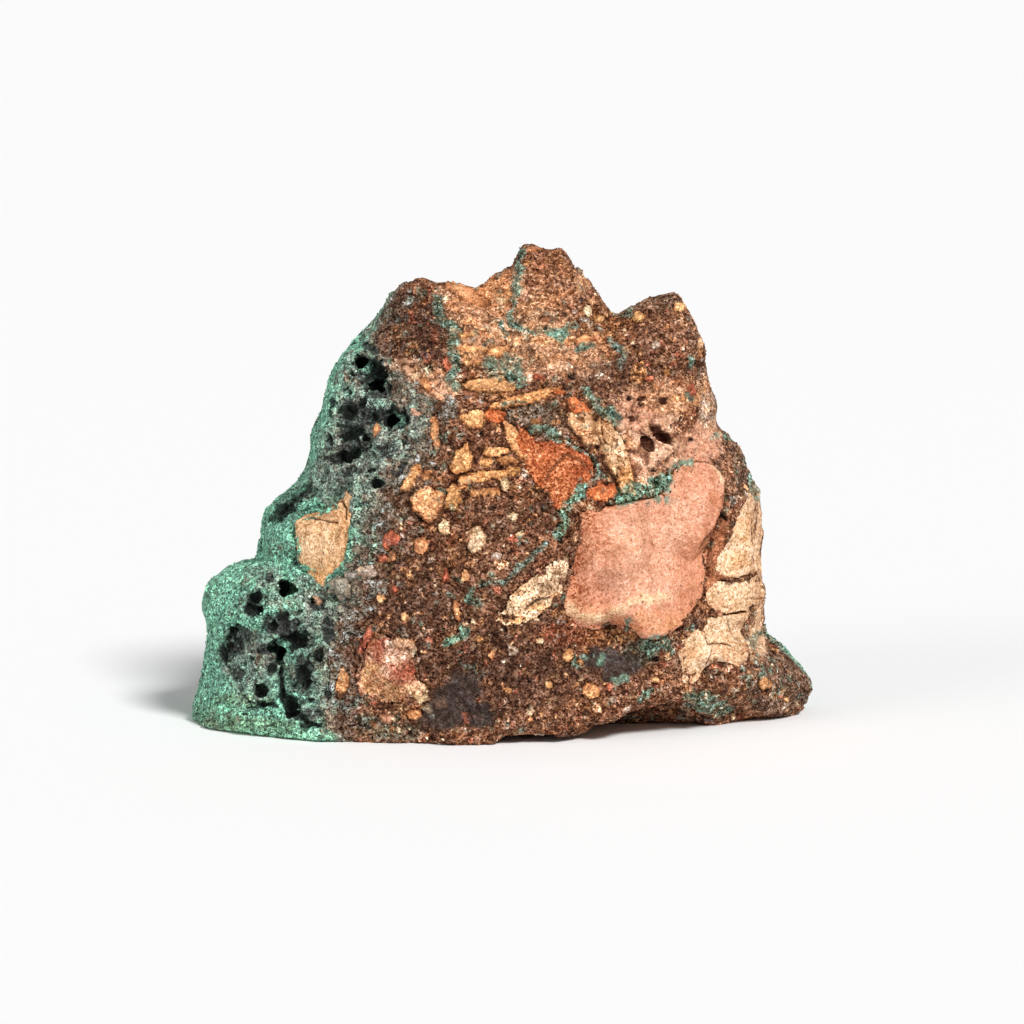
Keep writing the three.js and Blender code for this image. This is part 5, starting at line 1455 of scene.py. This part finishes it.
def make_salmon():
    """The large smooth salmon-pink mass, pricked with small dark pits."""
    skin = bare_stone("salmon_mass", "salmon", "salmon", 0.24, rounds=14)
    points = skin.points
    skin.relief += 0.05 * rough(points, 5.0, 201, 3) + 0.05 * rough(points, 0.9, 202, 2)
    skin.stains(SALMON_STAINS)
    streaks(skin, 82, 2.4, 203, 0.06, 4.0)
    skin.dapple(2.6, 204, 0.04)
    lip = line_distance(skin.ragged_across, skin.ragged_up, SALMON_LIP)
    skin.wash(0.75 * fade(lip, 0.3, 1.4) * skin.front, "cream")
    skin.relief += 0.3 * fade(lip, 0.2, 1.6) * skin.front
    ridge = line_distance(skin.across, skin.up, SALMON_RIDGE)
    skin.wash(0.7 * fade(ridge, 0.2, 0.9) * skin.front, "block_pale")
    crowd = smooth(rough(points, 5.0, 205, 2), -0.5, 0.6)
    specks(skin, 1.0, 206, 0.34, "rust_shade", 0.12, 0.8)
    specks(skin, 0.62, 207, 0.4, "salmon_edge", 0.06, 0.9)
    skin.wash(0.5 * crowd * smooth(noise(points, 0.5, 208), 0.35, 0.7), "salmon_edge")
    # Painted shade on the turned-down edge.
    skin.wash(0.75 * rim(skin, 0.3, 0.75), "salmon_edge")
    left = fade(skin.across - 0.12 * skin.up + 3.0 * rough(points, 4.0, 211, 3), 7.0, 17.0)
    skin.wash(0.5 * left, "salmon_edge")
    skin.mottle("flame_deep", 0.5 * left, 1.1, 212, 4, 0.1, 0.4)
    skin.grain *= 0.75 + 0.9 * left
    crept_over(skin, 213)
    green_spills(skin, 209)
    finish(skin, "salmon_stone", "salmon_mass", "salmon")


def green_spills(skin, seed):
    """Malachite that creeps over the edge of a set-in stone."""
    for number, (across, up, half_width, half_height) in enumerate(GREEN_SPILLS):
        near, out = skin.spot(across, up, half_width, half_height)
        patchy = smooth(noise(skin.points[near], 0.9, seed + number), -0.4, 0.4)
        skin.paint(near, 0.85 * patchy * fade(out, 0.4, 1.1), "green")
    draw_veins(skin)


def make_orange():
    """The orange mass, cracked and darker along its upper edge, with painted shade on its turned-down edges.
    """
    skin = bare_stone("orange_mass", "flame", "orange", 0.22, rounds=10)
    points = skin.points
    skin.relief += 0.18 * rough(points, 3.0, 221, 3) + 0.08 * rough(points, 0.8, 222, 2)
    skin.stains(ORANGE_STAINS)
    skin.dapple(1.8, 223, 0.14)
    specks(skin, 0.8, 224, 0.4, "rust_shade", 0.12)
    for course in ORANGE_CRACKS:
        skin.crack(0.5, 0.3, course, "rust_shade")
    # Painted shade on the turned-down edge.
    skin.wash(0.5 * rim(skin), "rust_shade")
    crept_over(skin, 226)
    green_spills(skin, 225)
    finish(skin, "orange_stone", "orange_mass", "orange")


def make_slabs():
    """The two tan slabs, streaked along their length."""
    for node, turn, seed in (("tan_slab_lower", -68, 241), ("tan_slab_upper", -40, 251)):
        skin = bare_stone(node, "slab", "slab", 0.22)
        points = skin.points
        lines = streaks(skin, turn, 0.8, seed, 0.16)
        skin.relief += 0.14 * lines + 0.16 * rough(points, 2.2, seed + 1, 3)
        skin.relief += 0.07 * rough(points, 0.7, seed + 2, 2)
        skin.stains(SLAB_STAINS)
        skin.dapple(1.2, seed + 3, 0.08)
        specks(skin, 0.75, seed + 4, 0.42, "rust_shade", 0.12)
        skin.crack(0.45, 0.3, SLAB_CRACK)
        # Painted shade on the turned-down edge.
        skin.wash(0.5 * rim(skin), "slab_dark")
        crept_over(skin, seed + 6, 0.7, 0.95)
        green_spills(skin, seed + 5)
        finish(skin, node + "_stone", node, "slab")


# The cream stones: node, ground colour, finish, direction and width of the fibres, their strength, and seed.
CREAM_STONES = (
    ("cream_wedge", "wood", "wood", 38, 0.8, 0.3, 261),
    ("cream_fragment", "shell", "cream", 88, 1.1, 0.08, 271),
    ("cream_block_top", "block", "cream", 80, 1.4, 0.06, 281),
    ("cream_block_middle", "block", "cream", 10, 1.4, 0.05, 291),
    ("cream_block_bottom", "block", "cream", 60, 1.4, 0.07, 331),
)


def make_creams():
    """The wedge, the shield-shaped piece and the three stacked blocks, all cream to pale orange."""
    for node, ground, dress, turn, width, strength, seed in CREAM_STONES:
        skin = bare_stone(node, ground, dress, 0.22, rounds=7)
        points = skin.points
        lines = streaks(skin, turn, width, seed, strength)
        skin.relief += (0.12 * lines + 0.2 * rough(points, 2.6, seed + 1, 3)
                        + 0.06 * rough(points, 0.7, seed + 2, 2))
        skin.stains(WEDGE_STAINS if node == "cream_wedge" else CREAM_STAINS)
        skin.dapple(1.5, seed + 3, 0.09)
        specks(skin, 0.85, seed + 4, 0.34, "shell_stain", 0.1, 0.75)
        specks(skin, 1.5, seed + 5, 0.2, "rust_shade", 0.12, 0.7)
        for width_of_crack, course in CREAM_CRACKS:
            skin.crack(width_of_crack, 0.45, course)
        # Painted shade on the turned-down edge.
        skin.wash(0.35 * rim(skin, 0.2, 0.7), "block_stain_and_shade")
        crept_over(skin, seed + 7, 0.9, 1.15)
        green_spills(skin, seed + 6)
        finish(skin, node + "_stone", node, dress)


def make_rusty():
    """The crumbling fragment of pink, rust red and yellow."""
    skin = bare_stone("rusty_fragment", "rust", "rusty", 0.22, rounds=6)
    points = skin.points
    first, second, number, _ = cells(points + 0.4 * rough(points, 1.5, 311, 2)[:, None], 2.4, 312)
    skin.relief += 0.5 * (number - 0.5) * smooth(second - first, 0.02, 0.25)
    skin.relief += 0.3 * rough(points, 2.0, 313, 3) + 0.1 * rough(points, 0.6, 314, 2)
    skin.stains(RUSTY_STAINS)
    skin.dapple(1.2, 315, 0.12)
    skin.mottle("rust_red", 0.6, 1.6, 316, 3, 0.45, 0.7)
    skin.mottle("rust_yellow", 0.5, 1.8, 317, 3, 0.4, 0.75)
    skin.mottle("umber", 0.5, 1.3, 319, 3, 0.5, 0.75)
    specks(skin, 0.8, 318, 0.4, "umber", 0.14)
    # Painted shade in the cracks between the crumbled bits.
    skin.shade(1.0 - 0.3 * fade(second - first, 0.0, 0.12))
    crept_over(skin, 320, 0.8, 1.05)
    finish(skin, "rusty_stone", "rusty_fragment", "rusty")


# ---- loose grains on the rock ----
GRAIN_INPUTS = {
    "Stone": "Geometry", "Grains per square metre": "Float", "Smallest radius": "Float",
    "Largest radius": "Float", "Darkest": "Float", "Lightest": "Float", "Seed": "Int", "Finish": "Material",
}


def grain_tree(name):
    """Geometry nodes that strew small angular grains over a stone, each in the colour under it."""
    tree = bpy.data.node_groups.new(name, "GeometryNodeTree")

    def add(kind, inputs=(), **settings):
        return new_node(tree.nodes, kind, inputs, **settings)

    for label, kind in GRAIN_INPUTS.items():
        tree.interface.new_socket(label, in_out="INPUT", socket_type="NodeSocket" + kind)
    tree.interface.new_socket("Grains", in_out="OUTPUT", socket_type="NodeSocketGeometry")
    given = add("NodeGroupInput")
    mask = add("GeometryNodeInputNamedAttribute", [("Name", "grit")], data_type="FLOAT")
    here = add("ShaderNodeMath", operation="MULTIPLY")
    strewn = add("GeometryNodeDistributePointsOnFaces")
    under = add("GeometryNodeInputNamedAttribute", [("Name", "tone")], data_type="FLOAT_COLOR")
    light = add("FunctionNodeRandomValue", data_type="FLOAT")
    own = add("ShaderNodeVectorMath", operation="SCALE")
    coloured = add(
        "GeometryNodeStoreNamedAttribute", [("Name", "tone")], data_type="FLOAT_COLOR", domain="POINT")
    turn = add("FunctionNodeRandomValue", [(1, (math.tau,) * 3)], data_type="FLOAT_VECTOR")
    size = add("FunctionNodeRandomValue", data_type="FLOAT_VECTOR")
    least = add("ShaderNodeCombineXYZ")
    most = add("ShaderNodeCombineXYZ")
    grain = add("GeometryNodeMeshIcoSphere", [("Radius", 1.0), ("Subdivisions", 1)])
    placed = add("GeometryNodeInstanceOnPoints")
    real = add("GeometryNodeRealizeInstances")
    dressed = add("GeometryNodeSetMaterial")
    made = add("NodeGroupOutput")
    for start, output, end, wanted in (
            (mask, "Attribute", here, 0), (given, "Grains per square metre", here, 1),
            (given, "Stone", strewn, "Mesh"), (here, "Value", strewn, "Density"),
            (given, "Seed", strewn, "Seed"), (given, "Darkest", light, 2), (given, "Lightest", light, 3),
            (given, "Seed", light, "Seed"), (under, "Attribute", own, 0), (light, 1, own, "Scale"),
            (strewn, "Points", coloured, "Geometry"), (own, "Vector", coloured, "Value"),
            (coloured, "Geometry", placed, "Points"),
            (grain, "Mesh", placed, "Instance"), (turn, "Value", placed, "Rotation"),
            (size, "Value", placed, "Scale"), (placed, "Instances", real, "Geometry"),
            (real, "Geometry", dressed, "Geometry"), (given, "Finish", dressed, "Material"),
            (dressed, "Geometry", made, "Grains"), (least, "Vector", size, 0), (most, "Vector", size, 1),
            *[(given, "Smallest radius", least, way) for way in "XYZ"],
            *[(given, "Largest radius", most, way) for way in "XYZ"]):
        tree.links.new(start.outputs[output], end.inputs[wanted])
    return tree


def strew(stone, name, dress, settings):
    """Small grains over a stone as one plain mesh."""
    tree = grain_tree(name + "_tree")
    piece = new_object(name, bpy.data.objects[stone].data.copy())
    strewing = piece.modifiers.new("strewn grains", "NODES")
    strewing.node_group = tree
    inputs = {item.name: item.identifier for item in tree.interface.items_tree if item.in_out == "INPUT"}
    for label, value in settings.items():
        strewing[inputs[label]] = value
    strewing[inputs["Finish"]] = finish_of(dress)
    plain = frozen(piece)
    piece.modifiers.remove(strewing)
    bare = piece.data
    piece.data = plain
    bpy.data.meshes.remove(bare)
    places = points_of(plain)
    places[:, 2] = np.maximum(places[:, 2], 0.0)
    move_points(plain, places)
    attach(piece, BODY)


def make_grit():
    """Loose angular grains on the breccia and on the malachite."""
    sizes = bpy.context.scene.specimen_sizes
    shared = {"Grains per square metre": sizes.grit_density / MM ** 2,
              "Smallest radius": sizes.grit_small * MM, "Largest radius": sizes.grit_large * MM}
    for stone, kind, seed, dark, light in (
            ("breccia_rock", "breccia", 5, 0.4, 1.4), ("malachite_growth", "malachite", 6, 0.5, 1.35)):
        strew(stone, kind + "_grit", kind, {**shared, "Darkest": dark, "Lightest": light, "Seed": seed})


# ---- stage ----
# Half a side of the floor, in metres.
FLOOR_HALF = 9.0


def make_stage():
    """A pale floor, soft studio light and the camera."""
    looks = bpy.context.scene.specimen_stage
    floor = bpy.data.meshes.new("floor")
    corners = [(FLOOR_HALF * x, FLOOR_HALF * y, 0) for x, y in ((-1, -1), (1, -1), (1, 1), (-1, 1))]
    floor.from_pydata(corners, [], [(0, 1, 2, 3)])
    paper = bpy.data.materials.new("pale_paper")
    paper.use_nodes = True
    look = {"Base Color": (0.95, 0.95, 0.95, 1.0), "Roughness": 0.9, "Specular IOR Level": 0.1}
    for label, value in look.items():
        paper.node_tree.nodes["Principled BSDF"].inputs[label].default_value = value
    floor.materials.append(paper)
    new_object("floor", floor)

    sky = bpy.data.worlds.new("studio")
    sky.use_nodes = True
    background = sky.node_tree.nodes["Background"].inputs
    background["Color"].default_value = (1.0, 1.0, 1.0, 1.0)
    background["Strength"].default_value = looks.room_light
    bpy.context.scene.world = sky
    for name, bearing, height, spread, power in (
            ("key", 34, 44, 16, looks.key_light), ("fill", -52, 22, 30, looks.fill_light)):
        lamp = bpy.data.lights.new(name, "SUN")
        lamp.angle = math.radians(spread)
        lamp.energy = power
        new_object(name, lamp).rotation_euler = (math.radians(90 - height), 0.0, math.radians(bearing))

    lens = bpy.data.cameras.new("camera")
    lens.sensor_fit = "HORIZONTAL"
    lens.sensor_width = 36.0
    lens.lens = looks.lens
    lens.clip_start = 0.05
    lens.clip_end = 60.0
    camera = new_object("camera", lens)
    camera.location = Vector(looks.target) + looks.distance * Vector(TOWARDS_VIEWER)
    camera.rotation_euler = (math.pi / 2 - LEAN, 0.0, 0.0)
    bpy.context.scene.camera = camera
    bpy.context.scene.view_settings.view_transform = "Standard"


# ---- settings ----
def colour_setting(name):
    """The setting for one colour of the palette."""
    seen = tuple(part / 255.0 for part in PALETTE[name])
    words = name.replace("_", " ")
    return FloatVectorProperty(name=words.capitalize(), description="Colour of the stones' " + words, size=3,
                               subtype="COLOR_GAMMA", min=0.0, max=1.0, default=seen)


class SpecimenColours(bpy.types.PropertyGroup):
    """The colours that the stones are painted with."""
    __annotations__ = {name: colour_setting(name) for name in PALETTE}


class SpecimenSizes(bpy.types.PropertyGroup):
    """How fine the stones are made, and the grains strewn on them. Millimetres."""
    breccia_grain: FloatProperty(
        name="Breccia face size", description="Side of its faces, halved in front",
        default=0.76, min=0.4, max=2.0)
    malachite_grain: FloatProperty(
        name="Malachite face size", description="Side of its faces, halved in front",
        default=0.675, min=0.4, max=2.0)
    grit_density: FloatProperty(
        name="Grit density", description="Loose grains on each square millimetre",
        default=0.89, min=0.0, max=4.0)
    grit_small: FloatProperty(
        name="Smallest grit", description="Smallest radius of a loose grain", default=0.1, min=0.05, max=1.0)
    grit_large: FloatProperty(
        name="Largest grit", description="Largest radius of a loose grain", default=0.3, min=0.05, max=1.0)


class SpecimenStage(bpy.types.PropertyGroup):
    """The light and the camera."""
    lens: FloatProperty(
        name="Lens", description="Focal length", default=200.0, min=20.0, subtype="DISTANCE_CAMERA")
    distance: FloatProperty(
        name="Distance", description="From the camera to what it looks at", default=EYE_DISTANCE * MM,
        min=0.2, unit="LENGTH")
    target: FloatVectorProperty(
        name="Target", description="What the camera looks at", size=3, subtype="XYZ", unit="LENGTH",
        default=[part * MM for part in EYE_TARGET])
    key_light: FloatProperty(name="Key light", description="Strength of the key light", default=3.0)
    fill_light: FloatProperty(name="Fill light", description="Strength of the fill light", default=0.6)
    room_light: FloatProperty(
        name="Room light", description="Strength of the light from all round", default=0.3)


# ---- operators ----
class SPECIMEN_OT_breccia(bpy.types.Operator):
    """Make the red-brown host rock"""
    bl_idname = "specimen.breccia"
    bl_label = "Breccia"

    def execute(self, context):
        make_breccia()
        return {"FINISHED"}


class SPECIMEN_OT_malachite(bpy.types.Operator):
    """Make the green malachite growth"""
    bl_idname = "specimen.malachite"
    bl_label = "Malachite"

    def execute(self, context):
        make_malachite()
        return {"FINISHED"}


class SPECIMEN_OT_salmon(bpy.types.Operator):
    """Make the large salmon-pink mass"""
    bl_idname = "specimen.salmon"
    bl_label = "Salmon mass"

    def execute(self, context):
        make_salmon()
        return {"FINISHED"}


class SPECIMEN_OT_orange(bpy.types.Operator):
    """Make the orange mass"""
    bl_idname = "specimen.orange"
    bl_label = "Orange mass"

    def execute(self, context):
        make_orange()
        return {"FINISHED"}


class SPECIMEN_OT_slabs(bpy.types.Operator):
    """Make the two tan slabs"""
    bl_idname = "specimen.slabs"
    bl_label = "Tan slabs"

    def execute(self, context):
        make_slabs()
        return {"FINISHED"}


class SPECIMEN_OT_creams(bpy.types.Operator):
    """Make the wedge, the shield-shaped piece and the three stacked blocks"""
    bl_idname = "specimen.creams"
    bl_label = "Cream stones"

    def execute(self, context):
        make_creams()
        return {"FINISHED"}


class SPECIMEN_OT_rusty(bpy.types.Operator):
    """Make the crumbling pink and rust-red fragment"""
    bl_idname = "specimen.rusty"
    bl_label = "Rusty fragment"

    def execute(self, context):
        make_rusty()
        return {"FINISHED"}


class SPECIMEN_OT_grit(bpy.types.Operator):
    """Strew small grains over the breccia and the malachite"""
    bl_idname = "specimen.grit"
    bl_label = "Grit"

    def execute(self, context):
        make_grit()
        return {"FINISHED"}


class SPECIMEN_OT_stage(bpy.types.Operator):
    """Make the floor, the lights and the camera"""
    bl_idname = "specimen.stage"
    bl_label = "Stage"

    def execute(self, context):
        make_stage()
        return {"FINISHED"}


OPERATORS = (
    SPECIMEN_OT_stage, SPECIMEN_OT_breccia, SPECIMEN_OT_malachite, SPECIMEN_OT_salmon, SPECIMEN_OT_orange,
    SPECIMEN_OT_slabs, SPECIMEN_OT_creams, SPECIMEN_OT_rusty, SPECIMEN_OT_grit,
)


class SPECIMEN_PT_stones(bpy.types.Panel):
    """The stones of the specimen, their sizes and the stage"""
    bl_idname = "SPECIMEN_PT_stones"
    bl_label = "Specimen"
    bl_space_type = "VIEW_3D"
    bl_region_type = "UI"
    bl_category = "Specimen"

    def draw(self, context):
        scene = context.scene
        for group in (scene.specimen_sizes, scene.specimen_stage, scene.specimen_colours):
            box = self.layout.box()
            for name in group.bl_rna.properties.keys():
                if name not in ("rna_type", "name"):
                    box.prop(group, name)
        for operator in OPERATORS:
            self.layout.operator(operator.bl_idname)


GROUPS = {
    "specimen_colours": SpecimenColours, "specimen_sizes": SpecimenSizes, "specimen_stage": SpecimenStage,
}


def register():
    for group in GROUPS.values():
        bpy.utils.register_class(group)
    for name, group in GROUPS.items():
        setattr(bpy.types.Scene, name, PointerProperty(type=group))
    for operator in OPERATORS:
        bpy.utils.register_class(operator)
    bpy.utils.register_class(SPECIMEN_PT_stones)


def unregister():
    bpy.utils.unregister_class(SPECIMEN_PT_stones)
    for operator in reversed(OPERATORS):
        bpy.utils.unregister_class(operator)
    for name, group in GROUPS.items():
        delattr(bpy.types.Scene, name)
        bpy.utils.unregister_class(group)


def main():
    register()
    for operator in OPERATORS:
        getattr(bpy.ops.specimen, operator.bl_idname.split(".")[1])()


if __name__ == "__main__":
    main()
